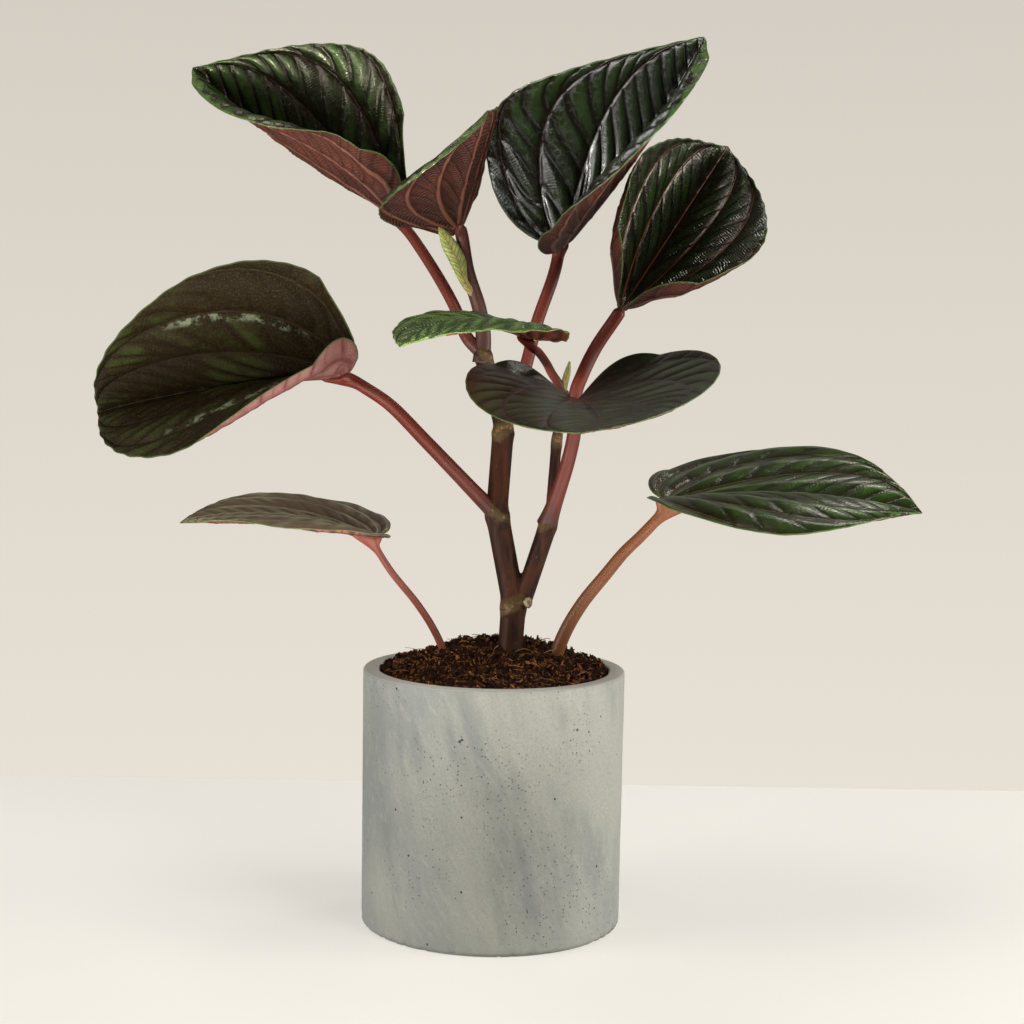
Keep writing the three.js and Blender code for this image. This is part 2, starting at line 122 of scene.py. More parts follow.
YOUNG_LEAF = {
    "node": "young_leaf", "flatness": 0.55, "widths": MM * np.array((1.6, 1.8, 3.4, 3.2, 0.8)),
    "route": MM * np.array([(-12, 4.5, 287), (-16.5, 1, 293), (-19.5, -1, 302), (-24, -2, 310),
                            (-28, -2, 317)]),
}
BUD = {
    "node": "bud", "flatness": 0.8, "widths": MM * np.array((1.3, 1.5, 1.4, 0.4)),
    "route": MM * np.array([(29.4, 4, 243), (29.9, 1.5, 248), (31, 0.5, 253), (32, 0, 258)]),
}

CAMERA = {
    "distance": 0.85, "height": 0.264, "pitch": 5.05, "yaw": 0.47, "roll": 1.0,
    "sensor": 36, "focal_pixels": 1870, "image_pixels": 1024,
}
TABLE_EDGE = 0.267                     # the table ends this far behind the pot's axis
TABLE_REACH = 3                        # to the sides and to the front
TABLE_GLOW = 0.48                      # it is a shooting table, faintly lit through from below
DAYLIGHT = (1.0, 0.99, 0.97)

# How a blade looks. Colours are sRGB, 0 to 255. `green` is how strong the green of the bulges is,
# `patch` where in the noise it begins and is full, `tint` the colour along the veins, `speckle` how
# strong the specks are, `crest_highlight` how strong the painted highlight along the bulges' ridges
# is,
# `band_highlight` the strength of the painted highlight in patches by the second vein, and
# `under_line`
# that of the side veins below. In metres: `rib` is the height of the bulges between main veins and
# `side_rib` of those between side veins, which are `spacing` apart along the main vein, and
# `ladder` is the height of the fine cross veins. `crest` below 2 sharpens the bulges, `groove` is
# how deep the creases are and `rungs` how much the cross veins show below. `ior`, `specular` and
# `shine`, its tint, are the gloss on top.
GLOSSY = dict(
    deep=(11, 17, 6), ridge=(50, 74, 30), tint=(24, 16, 9), vein=(40, 28, 18), edge=(70, 92, 44),
    speck=(44, 34, 20), speckle=0.25, green=1.1, patch=(0.30, 0.62), crest_highlight=0.0, band_highlight=0.0,
    under=(98, 50, 37), under_deep=(46, 22, 15), under_vein=(122, 78, 63), under_line=0.3,
    rib=1.5 * MM, crest=2.2, side_rib=1.1 * MM, spacing=12 * MM, ladder=0.03 * MM, rungs=0.6,
    wave=0.2 * MM, scallop=0.35 * MM, groove=1.0, roughness=0.2, ior=1.5, specular=0.5,
    shine=(255, 244, 216))
SHINY = dict(
    GLOSSY, ridge=(38, 55, 24), green=1.0, side_rib=1.3 * MM, spacing=11 * MM, ior=1.65,
    ladder=0.015 * MM, shine=(255, 255, 255))
SHADED = dict(
    GLOSSY, ridge=(28, 44, 18), edge=(56, 78, 38), under=(82, 40, 27), under_deep=(38, 19, 12),
    under_vein=(112, 68, 52), rungs=1.0)
RIPPLED = dict(
    GLOSSY, deep=(9, 12, 6), ridge=(30, 48, 19), tint=(20, 10, 8), vein=(112, 68, 42), green=1.0,
    rib=2.0 * MM, crest=1.5, side_rib=0.2 * MM, ladder=0.2 * MM, groove=0.6, roughness=0.17,
    specular=0.4)
BROWN = dict(
    GLOSSY, deep=(24, 18, 8), ridge=(44, 54, 24), tint=(20, 14, 7), vein=(40, 31, 17),
    edge=(66, 80, 46), speck=(62, 50, 29), speckle=0.5, green=0.9, patch=(0.48, 0.66), band_highlight=0.7,
    under=(138, 101, 93), under_deep=(104, 64, 58), under_vein=(84, 40, 36), under_line=0.8,
    rib=1.9 * MM, side_rib=1.2 * MM, ladder=0.04 * MM, groove=0.5, roughness=0.55, ior=1.35,
    specular=0.12)
BULLATE = dict(
    GLOSSY, deep=(44, 66, 30), ridge=(108, 140, 68), tint=(58, 80, 38), vein=(92, 116, 58),
    edge=(118, 148, 74), green=1.2, under=(158, 80, 62), under_deep=(112, 50, 38),
    side_rib=0.9 * MM, spacing=8 * MM, ladder=0.12 * MM, wave=0.5 * MM, roughness=0.30)
# Pale grey-olive: the leaf's own colour with a painted sheen laid into it, and a painted highlight
# along the ridges.
OLIVE_AND_PAINTED_SHEEN = dict(
    GLOSSY, deep=(96, 85, 65), ridge=(160, 158, 125), tint=(108, 88, 69), vein=(66, 52, 40),
    edge=(80, 98, 54), speck=(70, 56, 42), green=0.8, crest_highlight=0.9, under=(186, 110, 96),
    rib=2.2 * MM, crest=1.3, side_rib=0.45 * MM, spacing=8 * MM, ladder=0.02 * MM, groove=0.8,
    roughness=0.5, specular=0.4)
SHEENY = dict(
    GLOSSY, deep=(20, 25, 13), ridge=(50, 72, 36), tint=(24, 24, 14), vein=(28, 28, 16),
    green=0.6, rib=0.5 * MM, side_rib=0.5 * MM, wave=0.0, scallop=0.15 * MM, groove=0.5,
    roughness=0.34, specular=0.35)
RIDGED = dict(
    GLOSSY, deep=(25, 37, 13), ridge=(64, 98, 36), tint=(36, 34, 17), vein=(84, 72, 38),
    edge=(76, 104, 46), green=1.0, patch=(0.2, 0.8), crest_highlight=0.3, rib=2.1 * MM, crest=1.5,
    side_rib=0.5 * MM, wave=0.1 * MM, scallop=0.15 * MM, groove=0.5, roughness=0.22,
    specular=0.35)

# Stalk colours: at the foot, at the blade, and the streaks.
RED_STALK = ((92, 36, 20), (108, 41, 26), (68, 25, 14))
DARK_STALK = ((66, 39, 28), (82, 40, 32), (46, 26, 20))
PINK_STALK = ((118, 60, 38), (140, 74, 58), (90, 44, 29))
PALE_STALK = ((88, 58, 26), (128, 76, 40), (104, 56, 28))

# What most leaves share. A blade leaves its base along `heading` and `rise`, turned about its
# midrib by `roll`. `droop` bends the midrib, `fold` lifts the left and right half at the base and
# `change` is what that gains by the tip, `cup` curves each half upwards, `lobe` raises each lobe
# behind the stalk, `twist` turns the blade by the tip and `sway` moves the tip to the left, as a
# share of `length`. `curl` rolls a band of the left and right margin up, or down where it is
# negative, as deep as `band`. It grows and fades again between the four shares of the margin in
# `curl_span`. The stalk follows `route`, with one radius at its foot and one at the blade. `flare`
# is the reach of the web from the stalk forward along the midrib and `back_flare` of the one
# behind, and `stalk_end` is where the stalk meets the blade, from its base.
LEAF_DEFAULTS = {
    "stalk": RED_STALK, "stalk_slot": "stalk", "slot": "leaf", "stalk_end": (0, 0, 0),
    "foot_swell": 0.22, "back_flare": 0.4, "curl": None, "band": 0, "nibbled": False,
    "rows": 140, "columns": 121,
}
LENGTHS = ("base", "length", "half", "band", "route", "radius", "flare", "back_flare", "stalk_end")


def leaf_of(name, **values):
    """One leaf's values. Its lengths are given in millimetres and kept in metres."""
    values = {**LEAF_DEFAULTS, **values}
    for key in LENGTHS:
        values[key] = np.multiply(values[key], MM)
    return SimpleNamespace(name=name, **values)


LEAVES = [
    leaf_of("upper_left", look=GLOSSY, base=(-51, 15, 325), length=116, half=63, heading=151,
            rise=21, roll=-43, droop=(-56, 17), twist=0, sway=0.04, fold=(75, 65),
            change=(-26, -8), cup=(2, 0), lobe=(26, 26), curl=(-65, 0), band=7,
            curl_span=(0.4, 0.65, 0.95, 1.02), radius=(2.8, 2.4), flare=5,
            route=[(-9, 8, 262), (-15, 9, 268), (-20.5, 11, 281), (-27.5, 12, 293.5),
                   (-37, 14, 308), (-43, 15, 316)]),
    leaf_of("top_centre", look=SHADED, base=(-19, 1, 317), length=75, half=37, heading=-89,
            rise=22, roll=29, droop=(-9, -10), twist=16, sway=0.25, fold=(32, 28),
            change=(-17, -16), cup=(21, 15), lobe=(20, 20), curl=(0, -100), band=3.5,
            curl_span=(-1, 0, 2, 3), stalk=DARK_STALK, stalk_slot="dark_stalk",
            radius=(3.5, 2.9), flare=4, rows=110, columns=97,
            route=[(-8, 8, 259), (-7.5, 8, 269), (-9.5, 7, 281), (-15, 4, 298)]),
    leaf_of("upper_right", look=SHINY, base=(29, 16, 311), length=113, half=67, heading=-5,
            rise=46, roll=52, droop=(-38, 9), twist=15, sway=-0.01, fold=(39, 51),
            change=(23, 4), cup=(26, 17), lobe=(13, 13), curl=(0, -62), band=9,
            curl_span=(0.35, 0.65, 0.95, 1.02), radius=(3.0, 2.8), flare=4,
            stalk_end=(-3.5, 1.2, -2.2),
            route=[(2.5, 10, 227), (8.5, 12, 242), (12.5, 13, 256), (17, 14, 275),
                   (24, 14.5, 296)]),
    leaf_of("right", look=RIPPLED, base=(54, -7, 281), length=116, half=57.5, heading=66,
            rise=29, roll=35, droop=(-51, 16), twist=6, sway=-0.01, fold=(50, 52),
            change=(-7, 3), cup=(24, -6), lobe=(20, 26), curl=(50, 60), band=7,
            curl_span=(-1, 0, 0.3, 0.62), radius=(3.3, 2.9), flare=3, foot_swell=0.5,
            route=[(24, 4, 185.5), (27.5, -1, 197), (32, -4, 213), (34.5, -6, 227),
                   (34.5, -7, 243), (37.5, -7, 252), (43.5, -5, 264.5)]),
    leaf_of("left", look=BROWN, base=(-70, -10, 250), length=122, half=65, heading=168,
            rise=-5, roll=-85, droop=(-11, 28), twist=-1, sway=0.07, fold=(96, 33),
            change=(-40, 39), cup=(-36, -2), lobe=(36, 24), curl=(105, 0), band=9.5,
            curl_span=(-1, 0, 0.45, 0.75), radius=(3.4, 2.7), flare=9,
            route=[(-2, 7, 189), (-8.5, 5, 195.5), (-18.5, 1, 206), (-32.5, -3, 220.5),
                   (-49, -6, 237), (-60, -9, 244.5)]),
    leaf_of("small_centre", look=BULLATE, slot="light_leaf", base=(14, -34, 267), length=73,
            half=37, heading=212, rise=19, roll=13, droop=(29, 26), twist=-16, sway=0.02,
            fold=(2, 38), change=(3, -44), cup=(-29, -15), lobe=(-10, 13), radius=(2.0, 1.8),
            flare=6, rows=110, columns=97,
            route=[(29.5, 4, 243), (26.5, 0, 248.5), (24, -5, 252), (21, -14, 257),
                   (17, -26, 262)]),
    leaf_of("front", look=SHEENY, base=(35, -25, 241), length=132, half=57, heading=-78,
            rise=-6, roll=6, droop=(-5, -4), twist=0, sway=-0.24, fold=(19, 28),
            change=(-19, -23), cup=(11, -3), lobe=(19, 19), radius=(2.4, 2.2), flare=3,
            route=[(27.5, 5, 230), (30, -5, 232), (33, -16, 233.5)]),
    leaf_of("low_left", look=OLIVE_AND_PAINTED_SHEEN, base=(-56, -9, 178), length=87, half=52, heading=184,
            rise=15, roll=-2, droop=(16, 12), twist=-2, sway=0, fold=(8, 10), change=(-3, -2),
            cup=(-6, -11), lobe=(6, 6), stalk=PINK_STALK, radius=(1.9, 1.5), flare=9,
            back_flare=4,
            route=[(-19, 9, 98), (-21, 9, 112), (-24.5, 8, 125), (-29, 7, 134.5),
                   (-36, 4, 145.5), (-48, -3, 161.5)]),
    leaf_of("low_right", look=RIDGED, base=(78, -10, 196), length=113, half=59, heading=-6,
            rise=6, roll=8, droop=(7, 13), twist=14, sway=0.01, fold=(12, 20), change=(4, 0),
            cup=(-19, -37), lobe=(6, 6), stalk=PALE_STALK, stalk_slot="pale_stalk",
            radius=(3.5, 2.4), flare=11, back_flare=5, nibbled=True,
            route=[(23, 8, 98), (25.5, 6, 112), (32, 3, 132.5), (40, 0, 147.5),
                   (50, -3, 161), (58, -5, 171.5), (66, -7, 180)]),
]

# ---------------------------------------------------------------- meshes


def new_mesh(name, points, faces):
    mesh = bpy.data.meshes.new(name)
    mesh.from_pydata(np.asarray(points).tolist(), [], faces)
    return mesh


def add_object(name, data):
    """A new object of the scene that shows a mesh, a light or what a camera sees."""
    added = bpy.data.objects.new(name, data)
    bpy.context.scene.collection.objects.link(added)
    return added


def make_piece(name, points, faces, materials, node=None, material_of=None,
               attributes=None, smooth=True):
    """A mesh object of the given points and faces that rides on the body and stands for `node`."""
    mesh = new_mesh(name, points, faces)
    for key, values in (attributes or {}).items():
        values = np.asarray(values, np.float32)
        kind, field = ("FLOAT_VECTOR", "vector") if values.ndim == 2 else ("FLOAT", "value")
        mesh.attributes.new(key, kind, "POINT").data.foreach_set(field, values.ravel())
    for material in materials:
        mesh.materials.append(material)
    if material_of is not None:
        mesh.polygons.foreach_set("material_index", material_of)
    mesh.polygons.foreach_set("use_smooth", [smooth] * len(mesh.polygons))
    mesh.update()
    piece = add_object(name, mesh)
    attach(piece, "root")
    if node:
        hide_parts(node)


class Heap:
    """Points and faces of many small bodies, gathered for one mesh, with a shade for each."""

    def __init__(self):
        self.points = []
        self.faces = []
        self.shade = []

    def add(self, points, faces, shade=0.0):
        first = len(self.points)
        self.points.extend(points)
        self.faces.extend(tuple(first + k for k in face) for face in faces)
        self.shade.extend([shade] * len(points))


def unit(vectors):
    length = np.linalg.norm(vectors, axis=-1, keepdims=True)
    return vectors / np.maximum(length, 1e-12)


def smoothstep(value, low, high):
    share = np.clip((value - low) / (high - low), 0, 1)
    return share * share * (3 - 2 * share)


def ring_faces(rings, sides, first=0):
    """Quads between rings of `sides` points each, the first of which starts at point `first`."""
    faces = []
    for low in range(first, first + (rings - 1) * sides, sides):
        for k in range(sides):
            n = (k + 1) % sides
            faces.append((low + k, low + n, low + sides + n, low + sides + k))
    return faces


def fan_faces(centre, ring, sides):
    """Triangles from the point `centre` to the ring that starts at point `ring`."""
    return [(centre, ring + (k + 1) % sides, ring + k) for k in range(sides)]


def flipped(faces):
    return [(face[0], *face[:0:-1]) for face in faces]


def closed_faces(rings, sides):
    """Faces of a closed body: its rings of points come first, then the middles of its ends."""
    end = rings * sides
    last_fan = flipped(fan_faces(end + 1, end - sides, sides))
    return ring_faces(rings, sides) + fan_faces(end, 0, sides) + last_fan


def grid_faces(numbers):
    """Faces between the rows of a grid of point numbers. Corners that coincide count once."""
    faces = []
    for low, high in zip(numbers, numbers[1:]):
        for k in range(len(low) - 1):
            faces.append(tuple(dict.fromkeys((low[k], high[k], high[k + 1], low[k + 1]))))
    return faces


# ---------------------------------------------------------------- materials


def linear(colour):
    """An sRGB colour of 0 to 255 as the linear RGBA that a shader takes."""
    channels = [value / 255 for value in colour]
    return (*(c / 12.92 if c <= 0.04045 else ((c + 0.055) / 1.055) ** 2.4 for c in channels), 1.0)


class Field:
    """A value that nodes work out. Reckoning with it adds nodes to the same tree."""

    def __init__(self, nodes, socket):
        self.nodes = nodes
        self.socket = socket

    def math(self, operation, second=0.0):
        return self.nodes.node("ShaderNodeMath", {0: self, 1: second}, operation=operation)

    def __add__(self, other):
        return self.math("ADD", other)

    def __sub__(self, other):
        return self.math("SUBTRACT", other)

    def __rsub__(self, other):
        return self * -1 + other

    def __mul__(self, other):
        return self.math("MULTIPLY", other)

    def __truediv__(self, other):
        return self.math("DIVIDE", other)

    def ramp(self, low, high, at_low, at_high, kind="LINEAR"):
        """`at_low` below `low` and `at_high` above `high`."""
        inputs = {0: self, 1: low, 2: high, 3: at_low, 4: at_high}
        return self.nodes.node("ShaderNodeMapRange", inputs, interpolation_type=kind)

    def ease(self, low, high):
        """0 below `low`, 1 above `high` and smooth between them. It falls where high is less."""
        if high < low:
            return self.ramp(high, low, 1.0, 0.0, "SMOOTHSTEP")
        return self.ramp(low, high, 0.0, 1.0, "SMOOTHSTEP")

    def split(self):
        parts = self.nodes.node("ShaderNodeSeparateXYZ", {0: self}).socket.node
        return [Field(self.nodes, output) for output in parts.outputs]


class Nodes:
    """A node tree. Its methods add a node and return its output."""

    def __init__(self, tree):
        self.tree = tree

    def node(self, kind, inputs=None, output=0, **settings):
        made = self.tree.nodes.new(kind)
        for key, value in settings.items():
            setattr(made, key, value)
        for key, value in (inputs or {}).items():
            self.plug(made.inputs[key], value)
        return Field(self, made.outputs[output])

    def plug(self, socket, value):
        if isinstance(value, Field):
            self.tree.links.new(value.socket, socket)
        else:
            socket.default_value = value

    def attribute(self, name, output="Fac"):
        return self.node("ShaderNodeAttribute", output=output, attribute_name=name)

    def place(self):
        return self.node("ShaderNodeTexCoord", output="Object")

    def stretch(self, vector, scale=(1, 1, 1), turn=(0, 0, 0)):
        return self.node("ShaderNodeMapping", {0: vector, "Rotation": turn, "Scale": scale})

    def noise(self, scale, detail=4, roughness=0.5, vector=None):
        inputs = {"Vector": vector or self.place(), "Scale": scale, "Detail": detail,
                  "Roughness": roughness}
        return self.node("ShaderNodeTexNoise", inputs)

    def cells(self, scale, vector=None, output="Distance", **settings):
        inputs = {"Vector": vector or self.place(), "Scale": scale}
        return self.node("ShaderNodeTexVoronoi", inputs, output=output, **settings)


class Paint(Nodes):
    """A Principled material: a ground colour, and coats of other colours over it."""

    def __init__(self, name, ground):
        self.material = bpy.data.materials.new(name)
        self.material.use_nodes = True
        super().__init__(self.material.node_tree)
        self.shader = self.tree.nodes["Principled BSDF"]
        self.colour = linear(ground)

    def coat(self, share, colour):
        """Lays a colour over the ones before it, as far as `share` says."""
        inputs = {0: share, 6: self.colour, 7: linear(colour)}
        self.colour = self.node("ShaderNodeMix", inputs, output=2, data_type="RGBA")

    def finish(self, roughness, height, **constants):
        """Links colour, roughness and a height map in metres, and sets the rest on the sockets."""
        bump = self.node("ShaderNodeBump", {"Height": height, "Distance": 1.0})
        links = {"Base Color": self.colour, "Roughness": roughness, "Normal": bump}
        for key, value in links.items():
            self.plug(self.shader.inputs[key], value)
        for key, value in constants.items():
            self.shader.inputs[key.replace("_", " ")].default_value = value
        return self.material


def vein_pattern(paint, look):
    """A blade's coordinates by name, from its attributes: in metres `reach` from the base, and the
    distances to the nearest main vein, side vein and margin. `place` is whole on each main vein,
    `phase` on each side vein, and `crest` is 1 midway between two main veins."""
    reach, place, margin = paint.attribute("blade", "Vector").split()
    cell = paint.attribute("cell")
    part = place.math("FRACT")
    along = reach - part * cell * (1 / math.tan(SIDE_VEIN_ANGLE))
    phase = along * (1 / look["spacing"]) + paint.attribute("drift")
    side = phase.math("PINGPONG", 0.5) * (look["spacing"] * math.sin(SIDE_VEIN_ANGLE))
    vein = part.math("MINIMUM", 1 - part) * cell
    return SimpleNamespace(reach=reach, place=place, margin=margin, vein=vein, side=side,
                           phase=phase, crest=part * (1 - part) * 4)


def cross_veins(paint, at, pitch, wobble, full):
    """Ripples that start anew between two side veins. They are full where a noise is `full`."""
    start = paint.node("ShaderNodeTexWhiteNoise", {"W": at.phase.math("FLOOR")},
                       noise_dimensions="1D")
    steps = at.reach * (1 / pitch) + start + paint.noise(170, 3, 0.6) * wobble
    patchy = paint.noise(120, 3).ease(full - 0.3, full)
    return (steps * (2 * math.pi)).math("SINE") * patchy * at.crest.ease(0.15, 0.7)


def pebbled_gloss(paint, groove):
    """Height of a blade's finest relief: pebbles, and thin creases round small cells."""
    pebbles = paint.noise(620, 3, 0.6) * (0.11 * MM)
    shift = paint.node("ShaderNodeTexNoise", {"Scale": 240, "Detail": 3}, output="Color")
    shift = paint.node("ShaderNodeVectorMath", {0: shift, "Scale": 3 * MM}, operation="SCALE")
    bent = paint.node("ShaderNodeVectorMath", {0: paint.place(), 1: shift}, operation="ADD")
    creases = paint.cells(240, bent, feature="DISTANCE_TO_EDGE").ease(0.0, 0.07)
    return pebbles + creases * (0.018 * MM * groove)


def painted_highlight_band(paint, at):
    """Where the painted highlight lies: patches in a band beside the second vein."""
    beside_vein = at.place.ease(1.76, 1.88) * at.place.ease(1.98, 1.92)
    along = at.reach.ease(18 * MM, 34 * MM) * at.reach.ease(88 * MM, 70 * MM)
    return beside_vein * along * paint.noise(150, 5, 0.7).ease(0.47, 0.60)


def blade_top(name, look):
    """Dark between the veins' creases, green and paler on the bulges, with a painted highlight
    along their ridges and a pebbled gloss.
    """
    paint = Paint(name, look["deep"])
    at = vein_pattern(paint, look)
    groove = look["groove"]
    cloud = paint.noise(34, 5, 0.6)
    grain = paint.noise(1150, 3, 0.7)
    green = at.crest * at.side.ease(0.2 * MM, 2.4 * MM) * cloud.ease(*look["patch"])
    green = green * (grain * 1.2 + 0.35) * look["green"]
    paint.coat(green.math("MINIMUM", 1.0), look["ridge"])
    paint.coat(at.vein.ease(4.5 * MM, 0.5 * MM) * cloud.ease(0.7, 0.4), look["tint"])
    paint.coat(at.side.ease(0.5 * MM, 0.1 * MM) * (0.7 * groove), look["tint"])
    # Painted highlight: a pale line along the bulges' ridges.
    crest_highlight = at.crest.ease(0.975, 0.998) * cloud.ease(0.3, 0.6)
    paint.coat(crest_highlight * look["crest_highlight"], (156, 160, 132))
    # Painted highlight: pale patches beside the second vein.
    if look["band_highlight"]:
        paint.coat(painted_highlight_band(paint, at) * look["band_highlight"], (116, 126, 100))
    vein_edge = at.reach.ease(110 * MM, 10 * MM) * (0.25 * MM) + 0.16 * MM
    paint.coat((at.vein / vein_edge).ease(1.5, 0.7) * 0.75, look["vein"])
    paint.coat(at.margin.ease(0.6 * MM, 0.2 * MM) * 0.8, look["edge"])
    paint.coat(paint.attribute("scorch"), (58, 34, 20))
    paint.coat(grain.ease(0.45, 0.7) * look["speckle"], look["speck"])
    roughness = grain * 0.14 + (look["roughness"] - 0.05) + cloud.ease(0.35, 0.6) * -0.05
    side_groove = at.side.ease(0.0, 1.3 * MM) * (0.28 * MM * groove)
    vein_groove = at.vein.ease(0.0, 1.4 * MM) * (0.35 * MM * groove)
    ladder = cross_veins(paint, at, 1.4 * MM, 2.2, 0.65) * look["ladder"]
    height = side_groove + vein_groove + ladder + pebbled_gloss(paint, groove)
    return paint.finish(roughness, height, IOR=look["ior"], Specular_IOR_Level=look["specular"],
                        Specular_Tint=linear(look["shine"]))


def blade_underside(name, look):
    """Red, with pale raised veins, painted shade beside each and faint cross veins."""
    paint = Paint(name, look["under_deep"])
    at = vein_pattern(paint, look)
    grain = paint.noise(1100, 3, 0.7)
    shade = paint.noise(42, 5, 0.6) * 0.9 + grain * 0.35
    between = (at.phase * 2).math("PINGPONG", 0.5)
    rungs = cross_veins(paint, at, 1.7 * MM, 1.0, 0.5)
    paint.coat(shade.ease(0.35, 0.9), look["under"])
    # Painted shade: darker beside each raised side vein.
    paint.coat(at.side.ease(1.3 * MM, 0.3 * MM) * 0.7, look["under_deep"])
    paint.coat(between.ease(0.15, 0.04) * 0.8, look["under_deep"])
    paint.coat(rungs.ease(0.1, -0.6) * (0.5 * look["rungs"]), look["under_deep"])
    paint.coat(at.side.ease(0.35 * MM, 0.1 * MM) * look["under_line"], look["under_vein"])
    # Painted shade: darker beside each raised main vein, round its pale line.
    paint.coat(at.vein.ease(2.1 * MM, 0.8 * MM) * 0.7, look["under_deep"])
    paint.coat(at.vein.ease(0.7 * MM, 0.3 * MM) * 0.7, look["under_vein"])
    paint.coat(at.margin.ease(0.7 * MM, 0.25 * MM) * 0.8, look["edge"])
    height = at.side.ease(1.1 * MM, 0.0) * (0.30 * MM) + rungs * (0.18 * MM * look["rungs"])
    height = height + paint.noise(800, 2) * (0.08 * MM)
    return paint.finish(grain * 0.2 + 0.42, height, Specular_IOR_Level=0.18)


def stalk_skin(name, colours):
    """A gradient from foot to blade with streaks, and a brown sheath at the foot."""
    foot, top, streak = colours
    paint = Paint(name, foot)
    around = paint.attribute("limb", "Vector")
    streaks = paint.noise(2.2, 3, 0.5, paint.stretch(around, (1, 1, 14)))
    cloud = paint.noise(150, 3)
    sheath = (around.split()[2] + streaks * (5 * MM)).ease(17 * MM, 4 * MM)
    paint.coat(paint.attribute("share").ease(0.0, 0.9), top)
    paint.coat(streaks.ease(0.45, 0.72) * 0.8, streak)
    paint.coat(cloud.ease(0.35, 0.75) * 0.3, streak)
    paint.coat(sheath * 0.8, (56, 34, 22))
    return paint.finish(cloud * 0.12 + 0.40, cloud * (0.12 * MM), Specular_IOR_Level=0.3)


def stem_skin():
    """Dark maroon-brown with upright streaks and pale dots, olive and cracked at the joints."""
    paint = Paint("stem_skin", (24, 13, 7))
    streaks = paint.noise(170, 5, 0.65, paint.stretch(paint.place(), (1, 1, 0.10)))
    fine = paint.noise(1000, 3, 0.6)
    blotches = paint.noise(110, 5, 0.65)
    low = paint.place().split()[2].ease(134 * MM, 102 * MM)
    from_joint = paint.attribute("joint") + (blotches - 0.5) * (14 * MM)
    olive = from_joint.ease(5 * MM, 1.5 * MM)
    cracks = from_joint.ease(1.2 * MM, 0.2 * MM) * fine.ease(0.42, 0.6)
    dots = paint.cells(330).ease(0.20, 0.1) * blotches.ease(0.48, 0.6)
    paint.coat(streaks.ease(0.38, 0.66), (66, 36, 18))
    paint.coat(blotches.ease(0.5, 0.75), (36, 23, 18))
    paint.coat(low * 0.6, (88, 54, 30))
    paint.coat(olive * 0.75, (80, 66, 40))
    paint.coat(cracks * 0.7, (134, 108, 70))
    paint.coat(dots * 0.3, (124, 88, 66))
    height = streaks * (0.35 * MM) + fine * (0.05 * MM) + olive * blotches * (0.8 * MM)
    return paint.finish(fine * 0.1 + 0.45, height, IOR=1.32, Specular_IOR_Level=0.25)


def scar_skin():
    """The dry cut end of a leaf stalk: a pale ring round a brown middle."""
    paint = Paint("scar_skin", (84, 66, 46))
    rough = paint.noise(900, 4, 0.7)
    ring = paint.attribute("share").ease(0.15, 0.55) * paint.noise(260, 1).ease(0.40, 0.52)
    paint.coat(ring, (158, 144, 112))
    paint.coat(rough.ease(0.45, 0.7) * 0.6, (84, 62, 46))
    return paint.finish(0.7, rough * (0.4 * MM))


def young_skin():
    """Pale yellow-green, brown at the foot, with red veins that branch off the midrib."""
    paint = Paint("young_skin", (148, 160, 78))
    _, side, along = paint.attribute("limb", "Vector").split()
    side = side.math("ABSOLUTE")
    line = (along * (1 / (2.4 * MM)) + side * -1.6).math("PINGPONG", 0.5).ease(0.16, 0.04)
    cloud = paint.noise(300, 4)
    paint.coat(cloud.ease(0.35, 0.7), (108, 132, 60))
    paint.coat(along.ease(14 * MM, 2 * MM) * 0.6, (128, 92, 48))
    paint.coat(line.math("MAXIMUM", side.ease(0.16, 0.05)) * 0.6, (140, 70, 48))
    return paint.finish(0.4, line * (-0.2 * MM) + cloud * (0.1 * MM))


def soil_skin():
    """Dark coir mix with paler crumbs."""
    paint = Paint("soil_skin", (18, 9, 4))
    coarse = paint.noise(420, 6, 0.75)
    fine = paint.cells(900)
    paint.coat(coarse.ease(0.38, 0.66), (56, 33, 18))
    paint.coat(fine.ease(0.3, 0.1) * 0.5, (112, 70, 42))
    return paint.finish(0.9, coarse * (1.2 * MM) + fine * (0.5 * MM), Specular_IOR_Level=0.1)


def crumb_skin(name, dark, light):
    """Loose grains or fibres, each of its own shade."""
    paint = Paint(name, dark)
    rough = paint.noise(1600, 3, 0.7)
    paint.coat(paint.attribute("shade").math("POWER", 2.0), light)
    paint.coat(rough.ease(0.4, 0.75) * 0.5, dark)
    return paint.finish(0.8, rough * (0.3 * MM), Specular_IOR_Level=0.15)


def pinholes(paint):
    """Where the concrete has air holes: crowds of small ones and a few larger ones."""
    crowded = paint.noise(24, 2).ease(0.44, 0.62)
    rare = paint.cells(680, output="Color").split()[0].ease(0.45, 0.85)
    small = paint.cells(680).ease(0.24, 0.14) * rare * crowded
    very_rare = paint.cells(190, output="Color").split()[1].ease(0.84, 0.9)
    large = paint.cells(190).ease(0.12, 0.08) * very_rare
    return (small * 0.9).math("MAXIMUM", large)


